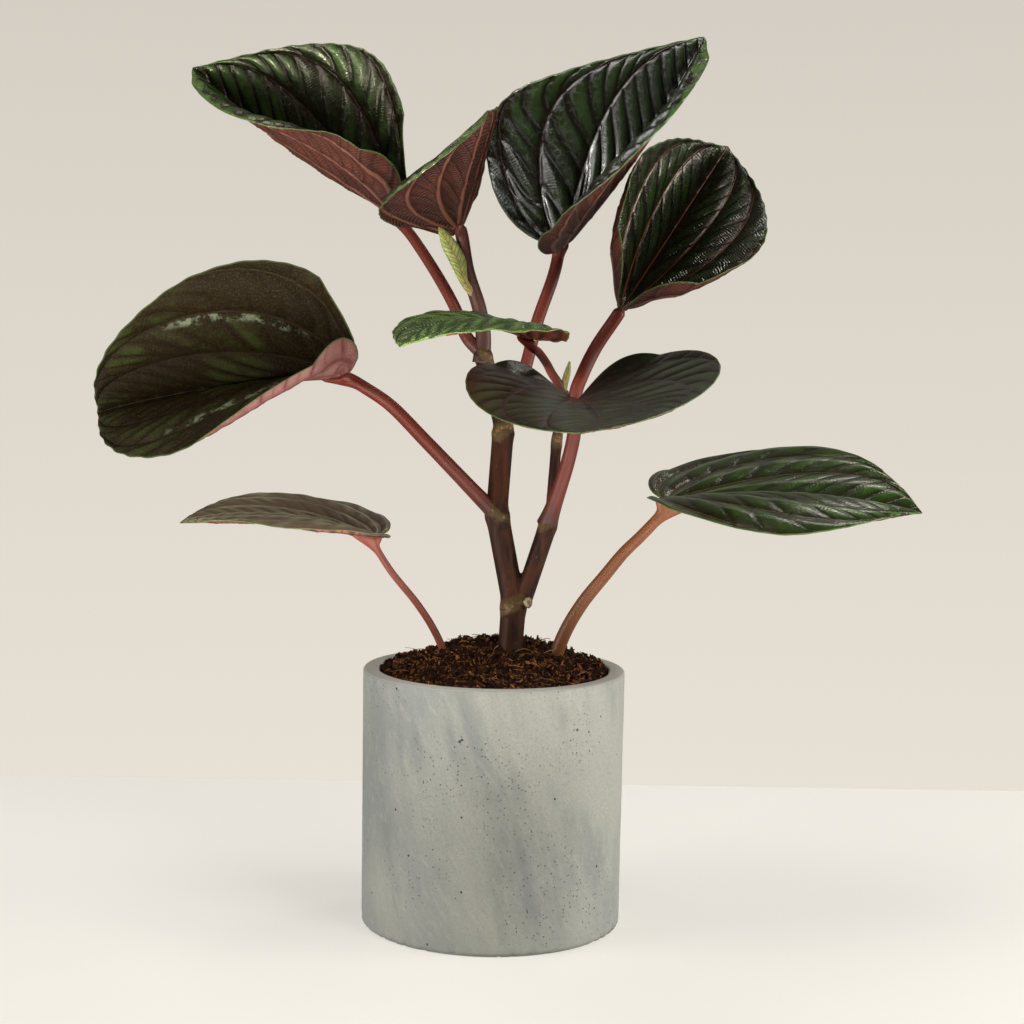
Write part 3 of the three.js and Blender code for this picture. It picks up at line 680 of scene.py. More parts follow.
def concrete_skin(rim, rim_radius):
    """Cast concrete: warm and blue-grey clouds, slanted brush marks, pinholes dark with painted
    shade, a paler rim.
    """
    paint = Paint("concrete_skin", (120, 124, 120))
    place = paint.place()
    x, y, z = place.split()
    slanted = paint.stretch(place, turn=(0, 0.6, 0))
    steep = paint.stretch(place, turn=(0, 0.25, 0))
    clouds = paint.noise(15, 5, 0.55, paint.stretch(slanted, (1, 1, 0.5)))
    wiped = paint.noise(62, 5, 0.6, paint.stretch(steep, (1.6, 1.6, 0.2)))
    scratches = paint.noise(300, 3, 0.6, paint.stretch(slanted, (1.4, 1.4, 0.06)))
    grain = paint.noise(1100, 4, 0.7)
    blue = paint.noise(20, 4, 0.6).ease(0.38, 0.66) * wiped.ease(0.36, 0.68)
    holes = pinholes(paint)
    radius = (x * x + y * y).math("SQRT")
    on_top = z.ease(rim - 0.9 * MM, rim - 0.2 * MM)
    inside = radius.ease(rim_radius - 4 * MM, rim_radius - 6 * MM)
    rim_line = on_top * radius.ease(rim_radius - 1.8 * MM, rim_radius)
    foot = z.ease(2.4 * MM, 0.3 * MM) * clouds.ease(0.3, 0.6)
    paint.coat(clouds.ease(0.36, 0.64), (150, 150, 140))
    paint.coat(blue * 0.6, (98, 104, 103))
    paint.coat(scratches.ease(0.52, 0.72) * 0.3, (162, 162, 153))
    paint.coat(grain.ease(0.4, 0.7) * 0.35, (102, 104, 100))
    paint.coat(z.ease(0.45 * rim, 0.0) * 0.2, (160, 159, 148))
    # Painted shade: the pinholes are painted dark, as the shade inside them.
    paint.coat(holes, (38, 38, 36))
    paint.coat(on_top.math("MAXIMUM", inside) * 0.85, (184, 186, 176))
    paint.coat(rim_line * 0.4, (110, 110, 104))
    paint.coat(foot * 0.7, (66, 66, 62))
    height = grain * (0.12 * MM) + holes * (-0.9 * MM) + wiped * (0.2 * MM)
    return paint.finish(grain * 0.2 + 0.56, height)


def table_skin():
    """A plain pale shooting table."""
    paint = Paint("table_paint", (172, 170, 164))
    fine = paint.noise(500, 3)
    paint.coat(paint.noise(3, 4), (178, 176, 170))
    return paint.finish(fine * 0.1 + 0.5, fine * (0.03 * MM), Emission_Strength=TABLE_GLOW,
                        Emission_Color=linear((255, 251, 243)))


# ---------------------------------------------------------------- blades


def margin_reach(angle):
    """The margin's distance from the base at `angle` off the midrib, as a share of the length."""
    return (np.cos(angle) - math.cos(OPEN_ANGLE)) / (1 - math.cos(OPEN_ANGLE))


DEGREES = np.radians(np.arange(150))
WIDEST_REACH = float(np.max(margin_reach(DEGREES) * np.sin(DEGREES)))


def bite_depth(leaf, t, s):
    """Small nibbles out of the left margin near the tip, as a share of the distance from base."""
    if not leaf.nibbled:
        return np.zeros_like(t * s)
    ragged = 0.6 + 0.4 * np.sin(t * 210) * np.sin(t * 97 + 1)
    near_tip = smoothstep(t, 0.885, 0.90) * smoothstep(t, 0.955, 0.945)
    return BITE * ragged * near_tip * smoothstep(s, 0.93, 1.0)


def flat_blade(leaf, t, s):
    """The flat outline, with small scallops: (along, across, half width) at t and s. The rows t
    run from 0 at the base to 1 at the tip, and s from -1 at the right margin to 1 at the left."""
    angle = OPEN_ANGLE * (1 - t)
    reach = margin_reach(angle)
    margin_x = leaf.length * ((1 - TIP_SHARE) * reach * np.cos(angle)
                              + TIP_SHARE * np.exp(-angle / TIP_WIDTH))
    margin_y = leaf.half * reach * np.sin(angle) / WIDEST_REACH
    share = np.abs(s)
    scallop = leaf.look["scallop"] / leaf.length * np.cos(2 * np.pi * SCALLOPS * t)
    bulge = 1 + scallop * smoothstep(share, 0.7, 1) - bite_depth(leaf, t, s)
    midrib_x = leaf.length * reach ** MIDRIB_LEAD
    along = (1 - share) * midrib_x + share * margin_x * bulge
    return along, share * margin_y * bulge, margin_y


def vein_place(leaf, t, s):
    """The vein coordinate, whole on each main vein, and the distance between two of them."""
    spread = 1 - VEIN_SPREAD * t ** 2
    share = np.abs(s) * spread
    place = np.interp(share, VEIN_SHARES, range(len(VEIN_SHARES)))
    low = np.minimum(place.astype(int), len(VEIN_SHARES) - 2)
    gap = np.diff(VEIN_SHARES)[low] / spread
    _, _, half_width = flat_blade(leaf, t, s)
    return place, gap * half_width


def side_drift(along, across):
    """How far the side veins wander from even spacing, as a share of it."""
    slow = 0.20 * np.sin(along * 70 + 1.6 * np.sin(across * 100))
    return slow + 0.05 * np.sin(along * 190 - across * 240 + 1)


def blade_relief(look, t, s, phase, part, cell):
    """Height over the smooth blade: bulges between veins, side bulges and the waved margin."""
    bulge = 1 - np.abs(2 * part - 1) ** look["crest"]
    lens = np.abs(np.sin(np.pi * phase)) ** 0.8
    widths = smoothstep(cell, 0.0, 12 * MM)
    edge = np.maximum(0, (np.abs(s) - 0.75) / 0.25)
    wave = look["wave"] * edge * np.cos(2 * np.pi * WAVES * t)
    rib = look["rib"] * bulge * (0.45 + 0.55 * widths)
    inside = smoothstep(1 - np.abs(s), 0, 0.14)
    side = look["side_rib"] * smoothstep(bulge, 0, 0.6) * (lens - 0.6) * widths * inside
    return np.sqrt(np.sin(np.pi * np.clip(t, 0, 1))) * (rib + side + wave)


def raised_veins(leaf, reach, place, cell, phase):
    """How far the veins stand out below: main veins strongest at the base, and side veins."""
    to_vein = np.abs(place - np.round(place)) * cell
    strength = np.clip(1 - reach / (leaf.length * 1.05), 0, 1)
    width = (0.55 + 0.75 * strength) * MM
    main = (0.2 + 0.7 * strength ** 1.5) * MM * np.exp(-(to_vein / width) ** 2)
    main = main * (1 - 0.16 * np.minimum(np.round(place), 3))
    spacing = leaf.look["spacing"] * math.sin(SIDE_VEIN_ANGLE)
    to_side = np.abs(phase - np.round(phase)) * spacing
    side = 0.22 * MM * np.exp(-(to_side / (0.5 * MM)) ** 2) * smoothstep(cell, 2 * MM, 9 * MM)
    return main + side


def bent_midrib(u, droop):
    """Place and slope of the drooping midrib at the share u of its length."""
    bend = np.maximum(u, 0)
    along = np.minimum(u, 0)
    down = np.zeros_like(u)
    for step in range(BEND_STEPS):
        v = bend * (step + 0.5) / BEND_STEPS
        slope = np.radians(droop[0] * v + droop[1] * v * v)
        along = along + np.cos(slope) * bend / BEND_STEPS
        down = down + np.sin(slope) * bend / BEND_STEPS
    return along, -down, np.radians(droop[0] * bend + droop[1] * bend * bend)


def blade_frame(leaf):
    heading, rise, roll = np.radians((leaf.heading, leaf.rise, leaf.roll))
    level = math.cos(rise)
    forward = np.array([level * math.cos(heading), level * math.sin(heading), math.sin(rise)])
    flat_left = np.array([-math.sin(heading), math.cos(heading), 0])
    flat_up = np.cross(forward, flat_left)
    left = flat_left * math.cos(roll) + flat_up * math.sin(roll)
    return forward, left, np.cross(forward, left)


def turn(out, up, angle):
    return out * np.cos(angle) - up * np.sin(angle), out * np.sin(angle) + up * np.cos(angle)


def never_zero(angle):
    return np.where(np.abs(angle) < 1e-4, 1e-4, angle)


def rolled_margin(leaf, t, s, half_width):
    """How far the margin's rolled band moves a point in and up, and the angle it turns by."""
    if leaf.curl is None:
        return np.zeros_like(s), np.zeros_like(s), np.zeros_like(s)
    band = np.minimum(leaf.band, np.maximum(half_width, 1e-6))
    inside = np.maximum(0, band - (1 - np.abs(s)) * half_width)
    full = np.radians(np.where(s < 0, leaf.curl[1], leaf.curl[0]))
    full = never_zero(full * smoothstep(np.interp(t, leaf.curl_span, (0, 1, 1, 0)), 0, 1))
    angle = full * inside / band
    return band / full * np.sin(angle) - inside, band / full * (1 - np.cos(angle)), angle


def rounded_fold(fold, distance):
    """The point at `distance` from a crease that turns by `fold` over the keel's width."""
    turned = np.minimum(distance, KEEL)
    beyond = np.maximum(distance - KEEL, 0)
    angle = never_zero(fold)
    reached = angle * turned / KEEL
    out = KEEL / angle * np.sin(reached) + beyond * np.cos(angle)
    up = KEEL / angle * (1 - np.cos(reached)) + beyond * np.sin(angle)
    return out, up, reached


def place_blade(leaf, t, s, lift):
    """Points in the frame of the blade's surface, `lift` above its smooth form."""
    along, across, half_width = flat_blade(leaf, t, s)
    u = along / leaf.length
    ahead = np.clip(u, 0, 1)
    lobe = np.maximum(-u / LOBE_REACH, 0)
    folds = [np.radians(leaf.fold[k] + leaf.change[k] * ahead + lobe * leaf.lobe[k])
             for k in range(2)]
    is_right = s < 0
    sign = np.where(is_right, -1.0, 1.0)
    cup = np.where(is_right, leaf.cup[1], leaf.cup[0])
    curve = np.radians(cup) * across / leaf.half
    chord = across * np.sinc(curve / 2 / np.pi)
    out, up, turned = rounded_fold(np.where(is_right, folds[1], folds[0]), chord)
    out, up = turn(out, up, curve / 2)
    rolled_out, rolled_up, rolled = rolled_margin(leaf, t, s, half_width)
    rolled_out, rolled_up = turn(rolled_out, rolled_up, turned + curve)
    out = out + rolled_out
    up = up + rolled_up

    # Half of what the rounding moved the two halves by goes to the midrib.
    excess = [rounded_fold(f, np.full_like(u, KEEL)) for f in folds]
    shift_up = sum(e[1] - KEEL * np.sin(f) for e, f in zip(excess, folds)) / 2
    shift_out = sum(k * (e[0] - KEEL * np.cos(f)) for k, e, f in zip((1, -1), excess, folds)) / 2

    leaning = turned + curve + rolled
    out = sign * (out - lift * np.sin(leaning)) - shift_out
    up = up + lift * np.cos(leaning) - shift_up
    leftward, upward = turn(out, up, np.radians(leaf.twist) * ahead)
    leftward = leftward + leaf.sway * leaf.length * ahead ** 2
    rib_along, rib_up, slope = bent_midrib(u, leaf.droop)
    forward, left, normal = blade_frame(leaf)
    return (leaf.base
            + np.multiply.outer(rib_along * leaf.length + upward * np.sin(slope), forward)
            + np.multiply.outer(leftward, left)
            + np.multiply.outer(rib_up * leaf.length + upward * np.cos(slope), normal))


def margin_distance(leaf, along, across):
    """Distance in the flat blade from each point to the margin."""
    t = np.linspace(0, 1, 1400)
    edge_x, edge_y, _ = flat_blade(leaf, t, np.ones_like(t))
    tree = kdtree.KDTree(len(t))
    for index, (x, y) in enumerate(zip(edge_x, edge_y)):
        tree.insert((x, y, 0), index)
    tree.balance()
    found = [tree.find((x, y, 0))[2] for x, y in zip(along.ravel(), across.ravel())]
    return np.array(found).reshape(along.shape)


def in_point_order(top, bottom, rim):
    """Values on a blade's three grids in the order of its points. Both sheets end in one point at
    the base and one at the tip, where the rim has none of its own."""
    ordered = []
    for grid in (top, bottom):
        middle = grid.shape[1] // 2
        inner = grid[1:-1].reshape(-1, *grid.shape[2:])
        ordered += [grid[:1, middle], inner, grid[-1:, middle]]
    return np.concatenate([*ordered, rim[1:-1].reshape(-1, *rim.shape[2:])])


def blade_faces(rows, columns):
    """Faces of the top, of the underside and of the rim, which stands out between the two."""
    count = 2 + (rows - 1) * columns
    top = np.zeros((rows + 1, columns), int)
    top[1:-1] = 1 + np.arange(count - 2).reshape(rows - 1, columns)
    top[-1] = count - 1
    rim = top[:, [0, -1]].copy()
    rim[1:-1] = 2 * count + np.arange(2 * (rows - 1)).reshape(rows - 1, 2)
    top_faces = grid_faces(top.tolist())
    under_faces = [tuple(count + k for k in reversed(face)) for face in top_faces]
    right = np.stack([count + top[:, 0], rim[:, 0], top[:, 0]], axis=-1)
    left = np.stack([top[:, -1], rim[:, 1], count + top[:, -1]], axis=-1)
    return top_faces, under_faces, grid_faces(right.tolist()) + grid_faces(left.tolist())


def make_blade(leaf):
    look = leaf.look
    t, s = np.meshgrid(np.linspace(0, 1, leaf.rows + 1), np.linspace(-1, 1, leaf.columns),
                       indexing="ij")
    along, across, _ = flat_blade(leaf, t, s)
    reach = np.hypot(along, across)
    place, cell = vein_place(leaf, t, s)
    part = place - np.floor(place)
    margin = margin_distance(leaf, along, across)
    drift = side_drift(along, across)
    phase = (reach - part * cell / math.tan(SIDE_VEIN_ANGLE)) / look["spacing"] + drift
    middle = place_blade(leaf, t, s, blade_relief(look, t, s, phase, part, cell))

    normal = unit(np.cross(np.gradient(middle, axis=0), np.gradient(middle, axis=1)))
    normal[0] = unit(normal[2].mean(axis=0))
    normal[-1] = unit(normal[-3].mean(axis=0))
    ridge = raised_veins(leaf, reach, place, cell, phase) * smoothstep(margin, 0, 2 * MM)
    half = HALF_THICKNESS * (0.6 + 0.4 * smoothstep(margin, 0, 1.5 * MM))
    top = middle + normal * half[..., None]
    bottom = middle - normal * (half + ridge)[..., None]
    outward = unit(middle[:, [0, -1]] - middle[:, [1, -2]])
    rim = middle[:, [0, -1]] + outward * (0.5 * HALF_THICKNESS)

    scorch = np.clip(bite_depth(leaf, t, np.ones_like(s)) / 0.012, 0, 1)
    values = {"blade": np.stack([reach, place, margin], axis=-1), "cell": cell, "drift": drift,
              "scorch": scorch * smoothstep(s, 0.82, 0.95)}
    attributes = {key: in_point_order(grid, grid, grid[:, [0, -1]])
                  for key, grid in values.items()}
    top_faces, under_faces, rim_faces = blade_faces(leaf.rows, leaf.columns)
    material_of = [0] * len(top_faces) + [1] * len(under_faces) + [0] * len(rim_faces)
    name = f"blade_{leaf.name}"
    materials = [blade_top(f"{name}_top", look), blade_underside(f"{name}_under", look)]
    make_piece(name, in_point_order(top, bottom, rim), top_faces + under_faces + rim_faces,
               materials, node=f"leaf_{leaf.name}", material_of=material_of,
               attributes=attributes)


# ---------------------------------------------------------------- limbs


def lengths_along(path):
    """The length of the path up to each of its points."""
    return np.concatenate([[0], np.cumsum(np.linalg.norm(np.diff(path, axis=0), axis=1))])


def line_at(first, second, low, high, at):
    """The value at `at` on the line that is `first` at `low` and `second` at `high`."""
    return (first * (high - at) + second * (at - low)) / (high - low)


def smooth_path(points, step):
    """Points about `step` apart on the centripetal Catmull-Rom curve through `points`."""
    points = np.asarray(points, float)
    padded = np.vstack([2 * points[0] - points[1], points, 2 * points[-1] - points[-2]])
    curve = []
    for a, b, c, d in zip(padded, padded[1:], padded[2:], padded[3:]):
        gaps = [math.sqrt(np.linalg.norm(q - p)) for p, q in ((a, b), (b, c), (c, d))]
        first, low, high, last = np.cumsum([0, *gaps])
        for x in np.linspace(low, high, 40, endpoint=False):
            middle = line_at(b, c, low, high, x)
            start = line_at(line_at(a, b, first, low, x), middle, first, high, x)
            end = line_at(middle, line_at(c, d, high, last, x), low, last, x)
            curve.append(line_at(start, end, low, high, x))
    curve = np.array([*curve, points[-1]])
    length = lengths_along(curve)
    at = np.linspace(0, length[-1], max(2, round(length[-1] / step) + 1))
    return np.stack([np.interp(at, length, curve[:, k]) for k in range(3)], axis=-1)


def ring_frames(path):
    """Unit vectors across a path that turn with it and don't twist about it."""
    along = unit(np.gradient(path, axis=0))
    side = np.array([0.0, 1.0, 0.0])
    sides = []
    for direction in along:
        side = unit(side - direction * (side @ direction))
        sides.append(side)
    return np.array(sides), np.cross(along, sides)


def tube(path, radius, sides, shape=None):
    """(points, faces, attributes) of a closed limb. `shape` moves its rings' points."""
    across, beside = ring_frames(path)
    angle = np.linspace(0, 2 * np.pi, sides, endpoint=False)
    offset = (np.cos(angle)[None, :, None] * across[:, None]
              + np.sin(angle)[None, :, None] * beside[:, None]) * np.asarray(radius)[:, None, None]
    if shape is not None:
        offset = shape(offset, angle)
    rings = path[:, None] + offset
    length = lengths_along(path)
    count = len(path)
    points = np.concatenate([rings.reshape(-1, 3), path[:1], path[-1:]])
    around = np.stack([np.tile(np.cos(angle), count), np.tile(np.sin(angle), count),
                       np.repeat(length, sides)], axis=-1)
    around = np.concatenate([around, [[0, 0, 0], [0, 0, length[-1]]]])
    share = np.concatenate([np.repeat(length / length[-1], sides), [0, 1]])
    return points, closed_faces(count, sides), {"limb": around, "share": share}


def make_stalk(leaf):
    """A smooth stalk that swells at its foot and runs into the midrib as a web."""
    forward, _, up = blade_frame(leaf)
    base = leaf.base + leaf.stalk_end
    route = leaf.route
    foot = route[0] - unit(route[1] - route[0]) * STALK_ROOT
    neck = base + unit(0.85 * unit(route[-1] - base) - 0.5 * up) * STALK_NECK
    end = base + (forward - 0.3 * up) * MM
    path = smooth_path([foot, *route[1:], neck, end], step=0.7 * MM)
    length = lengths_along(path)[-1]
    share = np.linspace(0, 1, len(path))
    to_end = (1 - share) * length
    low, high = leaf.radius
    radius = low + (high - low) * share
    radius = radius * (1 + leaf.foot_swell * np.exp(-share * length / (8 * MM)))
    radius = radius * (0.55 + 0.45 * smoothstep(to_end, -0.4 * MM, 1.6 * MM))
    web = leaf.flare * smoothstep(to_end, WEB_LENGTH * leaf.flare, 0) ** 2
    back_web = leaf.back_flare * smoothstep(to_end, 2.5 * leaf.back_flare, 0) ** 2

    def spread(offset, angle):
        ahead = (offset @ forward) / np.max(np.abs(offset @ forward), axis=1)[:, None]
        moved = ahead * np.where(ahead > 0, web[:, None], back_web[:, None])
        return offset + moved[..., None] * forward

    points, faces, attributes = tube(path, radius, sides=40, shape=spread)
    name = f"petiole_{leaf.name}"
    make_piece(name, points, faces, [stalk_skin(f"{name}_skin", leaf.stalk)],
               node=f"stalk_{leaf.name}", attributes=attributes)


# ---------------------------------------------------------------- stem


def jointed_limb(joints):
    """Path and radius of straight stretches between swollen joints."""
    path, radius = [], []
    for low, high in zip(joints, joints[1:]):
        start, end = low[:3], high[:3]
        length = np.linalg.norm(end - start)
        share = np.arange(0, 1, 1.0 * MM / length)
        to_start, to_end = share * length, (1 - share) * length
        eased = low[3] + (high[3] - low[3]) * smoothstep(to_end, 3 * MM, 0)
        swell = np.exp(-(to_end / JOINT_LENGTH) ** 2)
        if path:
            swell = swell + np.exp(-(to_start / (0.7 * JOINT_LENGTH)) ** 2)
        path.extend(start + (end - start) * share[:, None])
        radius.extend(eased * (1 + JOINT_SWELL * swell))
    tip, thick = joints[-1][:3], joints[-1][3]
    path.extend([tip, tip + unit(tip - joints[-2][:3]) * JOINT_LENGTH / 2])
    radius.extend([thick * (1 + JOINT_SWELL), thick])
    return np.array(path), np.array(radius)


def remeshed(heap):
    """One smooth skin over bodies that run into each other: its points and faces."""
    carrier = add_object("stem_limbs", new_mesh("stem_limbs", heap.points, heap.faces))
    remesh = carrier.modifiers.new("skin", "REMESH")
    remesh.mode = "VOXEL"
    remesh.voxel_size = STEM_VOXEL
    soften = carrier.modifiers.new("soften", "SMOOTH")
    soften.factor = 0.5
    soften.iterations = 5
    evaluated = carrier.evaluated_get(bpy.context.evaluated_depsgraph_get())
    skin = evaluated.to_mesh()
    points = np.array([v.co for v in skin.vertices])
    faces = [tuple(polygon.vertices) for polygon in skin.polygons]
    evaluated.to_mesh_clear()
    bpy.data.objects.remove(carrier)
    return points, faces


def make_stem():
    """One skin over both limbs and the stub of a fallen stalk."""
    stub = np.linspace(STUB_START, STUB_END, 8)
    limbs = [jointed_limb(MAIN_JOINTS), jointed_limb(SIDE_JOINTS), (stub, [STUB_RADIUS] * 8)]
    heap = Heap()
    for path, radius in limbs:
        points, faces, _ = tube(path, radius, sides=28)
        heap.add(points, faces)
    points, faces = remeshed(heap)

    # The distance from the nearest joint's plane, which leans to one side or the other.
    joints = np.concatenate([MAIN_JOINTS[1:], SIDE_JOINTS[1:]])[:, :3]
    offset = points[:, None] - joints[None]
    distance = np.linalg.norm(offset, axis=-1)
    lean = np.where(np.arange(len(joints)) % 2, 0.5, -0.5)
    level = np.abs(offset[..., 2] + lean * offset[..., 0])
    joint = np.where(distance < JOINT_REACH, level, OUT_OF_REACH).min(axis=1)
    make_piece("stem_skin", points, faces, [stem_skin()], node="stem",
               attributes={"joint": joint})


def make_scar():
    """The cut face of the stub: a slightly dished disc with a raised ring."""
    axis = unit(STUB_END - STUB_START)
    side = unit(np.cross(axis, (0, 0, 1)))
    up = np.cross(side, axis)
    rings, sides = SCAR["rings"], SCAR["sides"]
    points, share = [STUB_END + axis * SCAR["middle"]], [0.0]
    for i in range(1, rings + 1):
        part = i / rings
        ring = SCAR["ring"] * math.exp(-((part - 0.7) / 0.18) ** 2)
        height = SCAR["middle"] + ring - SCAR["edge"] * smoothstep(part, 0.86, 1.0)
        for k in range(sides):
            angle = 2 * math.pi * k / sides
            around = side * math.cos(angle) + up * math.sin(angle)
            jag = 1 + 0.05 * math.sin(3 * angle + 1) + 0.03 * math.sin(7 * angle)
            radius = STUB_RADIUS * SCAR["overhang"] * part * jag
            points.append(STUB_END + around * radius + axis * height)
            share.append(part)
    back = len(points)
    points.append(STUB_END - axis * SCAR["depth"])
    share.append(1.0)
    faces = flipped(fan_faces(0, 1, sides) + ring_faces(rings, sides, 1))
    faces += fan_faces(back, back - sides, sides)
    make_piece("leaf_scar", points, faces, [scar_skin()], attributes={"share": share})


# ---------------------------------------------------------------- young leaf and bud


def make_spindle(name, form, material):
    """A blade that is still rolled up: a flattened spindle whose one margin overlaps the other."""
    path = smooth_path(form["route"], step=0.5 * MM)
    share = np.linspace(0, 1, len(path))
    radius = np.interp(share, np.linspace(0, 1, len(form["widths"])), form["widths"])
    radius = np.convolve(np.pad(radius, 4, mode="edge"), np.ones(9) / 9, mode="valid")
    radius = radius * np.sqrt(np.clip((1 - share) / 0.05, 0.02, 1))
    across, _ = ring_frames(path)

    def roll(offset, angle):
        depth = np.einsum("ijk,ik->ij", offset, across)
        flat = offset - depth[..., None] * across[:, None] * (1 - form["flatness"])
        overlap = 1 + 0.16 * ((angle / (2 * np.pi) + 0.25) % 1)
        return flat * overlap[None, :, None]

    points, faces, attributes = tube(path, radius, sides=36, shape=roll)
    make_piece(name, points, faces, [material], node=form["node"],
               attributes=attributes)


# ---------------------------------------------------------------- soil and pot


def soil_height(x, y, rim):
    from_crown = np.hypot((x - SOIL["crown_at"][0]) / SOIL["crown_spread"][0],
                          (y - SOIL["crown_at"][1]) / SOIL["crown_spread"][1])
    mound = SOIL["crown_height"] * np.exp(-from_crown ** 2)
    sunk = SOIL["sunk_edge"] * smoothstep(np.hypot(x, y), *SOIL["sunk_span"])
    crossed = np.sin(470 * x + 1) * np.sin(530 * y)
    slanted = 0.6 * np.sin(900 * x - 700 * y)
    return rim - SOIL["below_rim"] - sunk + mound + SOIL["lump"] * (crossed + slanted)


def crumb_height(x, y):
    """Crumbs of the soil's surface."""
    spot = Vector((x, y, 0))
    coarse = SOIL["crumb"] * noise.fractal(spot * 260, 0.6, 2.2, 4)
    return coarse + SOIL["fine_crumb"] * noise.noise(spot * 900)


def make_soil(rim, radius):
    rings, sides = SOIL["rings"], SOIL["sides"]
    surface = []
    for level in range(rings + 1):
        share = 1 - level / rings
        fade = smoothstep(share, 1.0, 0.96)
        for k in range(sides):
            angle = 2 * math.pi * k / sides
            x, y = radius * share * math.cos(angle), radius * share * math.sin(angle)
            surface.append((x, y, soil_height(x, y, rim) + fade * crumb_height(x, y)))
    bottom = POT["floor"] + FIT
    foot = [(x, y, bottom) for x, y, _ in surface[:sides]]
    faces = fan_faces(0, 1, sides) + ring_faces(rings + 2, sides, 1)
    make_piece("potting_mix", [(0, 0, bottom), *foot, *surface], faces, [soil_skin()],
               node="soil")


def soil_spots(count, rim, radius, generator):
    """Random places on the soil that stay off the stem, the stalks and the wall."""
    spots = []
    while len(spots) < count:
        x, y = generator.uniform(-radius, radius, 2)
        from_stems = np.hypot(x - STEM_FEET[:, 0], y - STEM_FEET[:, 1])
        near_stem = np.any(from_stems < STEM_FEET[:, 2])
        if math.hypot(x, y) < radius - 1.5 * MM and not near_stem:
            spots.append((x, y, float(soil_height(x, y, rim)) + crumb_height(x, y)))
    return spots


# A grain is an icosahedron, out of shape.
GOLDEN = (1 + math.sqrt(5)) / 2
CORNERS = [(a, b * GOLDEN) for a in (1, -1) for b in (1, -1)]
GRAIN_POINTS = np.array([(0, a, b) for a, b in CORNERS] + [(a, b, 0) for a, b in CORNERS]
                        + [(b, 0, a) for a, b in CORNERS]) / 1.9
GRAIN_FACES = [(0, 8, 4), (0, 5, 10), (2, 4, 9), (2, 11, 5), (1, 6, 8), (1, 10, 7), (3, 9, 6),
               (3, 7, 11), (0, 10, 8), (1, 8, 10), (2, 9, 11), (3, 11, 9), (4, 2, 0), (5, 0, 2),
               (6, 1, 3), (7, 3, 1), (8, 6, 4), (9, 4, 6), (10, 5, 7), (11, 7, 5)]


def make_grains(rim, radius):
    generator = np.random.default_rng(SEED)
    heap = Heap()
    for x, y, z in soil_spots(GRAIN["count"], rim, radius, generator):
        size = generator.uniform(*GRAIN["size"])
        if generator.random() < GRAIN["large_share"]:
            size *= GRAIN["large"]
        stretch = generator.uniform(*GRAIN["stretch"])
        rotation, _ = np.linalg.qr(generator.normal(size=(3, 3)))
        jitter = generator.uniform(0.75, 1.25, (len(GRAIN_POINTS), 1))
        body = (GRAIN_POINTS * jitter * stretch) @ rotation.T * size
        if np.linalg.det(rotation) < 0:
            body = body * (1, 1, -1)
        heap.add(body + (x, y, z + 0.25 * size), GRAIN_FACES, generator.random())
    material = crumb_skin("grain_skin", (21, 11, 5), (166, 108, 58))
    make_piece("soil_grains", heap.points, heap.faces, [material], smooth=False,
               attributes={"shade": heap.shade})


def make_fibres(rim, radius):
    generator = np.random.default_rng(SEED + 1)
    heap = Heap()
    steps = np.linspace(0, 1, FIBRE["steps"])
    for x, y, z in soil_spots(FIBRE["count"], rim, radius - 4 * MM, generator):
        heading = generator.uniform(0, 2 * math.pi)
        length = generator.uniform(*FIBRE["length"])
        bend = generator.uniform(*FIBRE["bend"])
        rise = generator.uniform(*FIBRE["rise"])
        angle = heading + bend * steps
        directions = np.stack([np.cos(angle), np.sin(angle)], -1)
        flat = (x, y) + np.cumsum(directions, axis=0) * length / len(steps)
        height = z + 0.4 * MM + rise * length * np.sin(np.pi * steps * 0.8)
        if np.any(np.hypot(flat[:, 0], flat[:, 1]) > radius - 1 * MM):
            continue
        thick = generator.uniform(*FIBRE["thickness"])
        path = np.column_stack([flat, height])
        points, faces, _ = tube(path, [thick] * len(steps), sides=4)
        heap.add(points, faces, generator.random())
    material = crumb_skin("fibre_skin", (84, 50, 28), (190, 138, 86))
    make_piece("soil_fibres", heap.points, heap.faces, [material],
               attributes={"shade": heap.shade})


def rounded(x, z, turn_from, turn_to, radius, steps=5):
    """Points of a rounded edge with its centre at (x, z), from one angle to the other."""
    angles = np.radians(np.linspace(turn_from, turn_to, steps))
    return [(x + radius * math.cos(a), z + radius * math.sin(a)) for a in angles]


def pot_profile(rim, rim_radius):
    """The pot's outline as (radius, height), from under its foot round the rim to its floor."""
    edge, foot_radius = POT["edge"], POT["foot_radius"]
    inner = rim_radius - POT["wall"]
    outside = np.linspace(edge, rim - edge, POT["outer_levels"])[1:-1]
    inside = np.linspace(rim - 2 * edge, POT["floor"], POT["inner_levels"])
    return [
        (foot_radius * 0.5, 0), (foot_radius - 2.5 * edge, 0),
        *rounded(foot_radius - edge, edge, -90, 0, edge),
        *((foot_radius + (rim_radius - foot_radius) * z / rim, z) for z in outside),
        *rounded(rim_radius - edge, rim - edge, 0, 90, edge),
        *rounded(inner + edge, rim - edge, 90, 180, edge),
        *((inner, z) for z in inside),
        (inner * 0.5, POT["floor"]),
    ]


def make_pot(rim, rim_radius):
    """A turned pot, a little uneven, with small chips along its foot."""
    sides = POT["sides"]
    profile = pot_profile(rim, rim_radius)
    points = []
    for r, z in profile:
        at_foot = r > POT["foot_radius"] - 2 * POT["edge"] and z < POT["chipped_height"]
        for k in range(sides):
            angle = 2 * math.pi * k / sides
            spot = Vector((math.cos(angle) * r, math.sin(angle) * r, z))
            worn = POT["dent"] * noise.noise(spot * 45)
            if at_foot:
                chip = max(0.0, noise.noise(spot * 330 + Vector((3, 1, 7))) - 0.12)
                worn += POT["chip"] * chip
            worn_radius = r - abs(worn)
            points.append((math.cos(angle) * worn_radius, math.sin(angle) * worn_radius, z))
    points += [(0, 0, 0), (0, 0, POT["floor"])]
    make_piece("concrete_pot", points, closed_faces(len(profile), sides),
               [concrete_skin(rim, rim_radius)], node="pot")


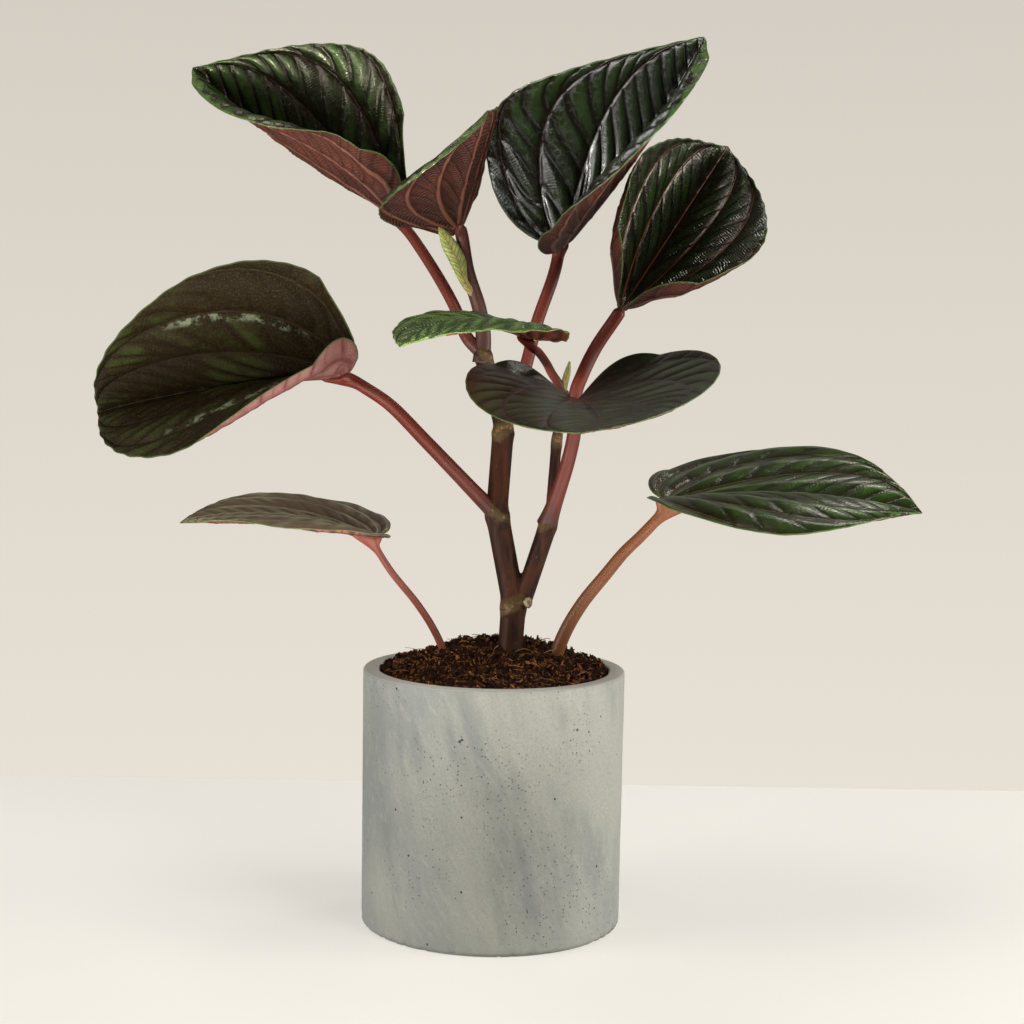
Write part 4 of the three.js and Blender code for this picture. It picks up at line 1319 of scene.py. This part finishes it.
# ---------------------------------------------------------------- stage


def make_camera():
    pitch, yaw, roll = (math.radians(CAMERA[key]) for key in ("pitch", "yaw", "roll"))
    ahead = Vector((math.sin(yaw) * math.cos(pitch), math.cos(yaw) * math.cos(pitch),
                    -math.sin(pitch)))
    right = ahead.cross(Vector((0, 0, 1))).normalized()
    up = right.cross(ahead)
    turned_right = right * math.cos(roll) + up * math.sin(roll)
    turned_up = up * math.cos(roll) - right * math.sin(roll)
    data = bpy.data.cameras.new("camera")
    data.lens = CAMERA["focal_pixels"] / CAMERA["image_pixels"] * CAMERA["sensor"]
    data.sensor_width = CAMERA["sensor"]
    camera = add_object("camera", data)
    matrix = Matrix((turned_right, turned_up, -ahead)).transposed().to_4x4()
    matrix.translation = (0, -CAMERA["distance"], CAMERA["height"])
    camera.matrix_world = matrix
    bpy.context.scene.camera = camera


def make_table():
    side = TABLE_REACH
    corners = [(-side, -side, 0), (side, -side, 0), (side, TABLE_EDGE, 0), (-side, TABLE_EDGE, 0)]
    mesh = new_mesh("table", corners, [(0, 1, 2, 3)])
    mesh.materials.append(table_skin())
    table = add_object("table", mesh)


def make_light(name, place, target, size, power, colour=DAYLIGHT, spread=180):
    data = bpy.data.lights.new(name, "AREA")
    data.shape = "RECTANGLE"
    data.size, data.size_y = size
    data.spread = math.radians(spread)
    data.energy = power
    data.color = colour
    light = add_object(name, data)
    light.location = place
    light.rotation_euler = (Vector(target) - Vector(place)).to_track_quat("-Z", "Y").to_euler()
    light.visible_camera = False


def make_world():
    """A warm pale wall as the camera sees it, and a room that lights the front less."""
    world = bpy.data.worlds.new("room")
    bpy.context.scene.world = world
    world.use_nodes = True
    nodes = Nodes(world.node_tree)
    _, y, z = nodes.node("ShaderNodeTexCoord", output="Generated").split()
    lighting = y.ramp(-0.7, 0.9, 0.05, 0.38)
    wall = z.ramp(-0.24, 0.18, 1.14, 0.93)
    seen = nodes.node("ShaderNodeLightPath", output="Is Camera Ray")
    strength = nodes.node("ShaderNodeMix", {0: seen, 2: lighting, 3: wall})
    background = world.node_tree.nodes["Background"]
    nodes.plug(background.inputs["Strength"], strength)
    nodes.plug(background.inputs["Color"], linear((219, 213, 202)))


# ---------------------------------------------------------------- the potted plant

_, pot_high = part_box("pot")
rim_height = pot_high.z
rim_radius = pot_high.x
soil_radius = rim_radius - POT["wall"] - FIT

make_camera()
make_pot(rim_height, rim_radius)
make_soil(rim_height, soil_radius)
make_grains(rim_height, soil_radius)
make_fibres(rim_height, soil_radius)
make_stem()
make_scar()
for leaf in LEAVES:
    make_stalk(leaf)
    make_blade(leaf)
young = young_skin()
make_spindle("rolled_leaf", YOUNG_LEAF, young)
make_spindle("rolled_bud", BUD, young)

make_table()
make_world()
make_light("key", (0.85, -0.9, 0.75), (0, 0, 0.15), (0.6, 0.6), 8, (1.0, 0.985, 0.96))
make_light("right", (1.1, -0.1, 0.3), (0, 0, 0.12), (0.5, 0.5), 9)
make_light("left", (-1.1, -0.4, 0.45), (0, 0, 0.15), (0.6, 0.6), 7)
make_light("top", (-0.35, -0.25, 1.4), (0, 0, 0.1), (0.7, 0.7), 7)
make_light("bounce", (0, -0.42, 0.02), (0, -0.42, 1), (0.8, 0.5), 7, (1.0, 0.98, 0.95), 150)
make_light("glint", (0.46, 0.47, 1.0), (0.13, 0, 0.2), (0.2, 0.2), 0.15, spread=60)
make_light("low_left", (-0.62, -0.45, 0.04), (-0.1, 0, 0.35), (0.12, 0.12), 0.7, spread=80)
bpy.context.scene.view_settings.view_transform = "Standard"
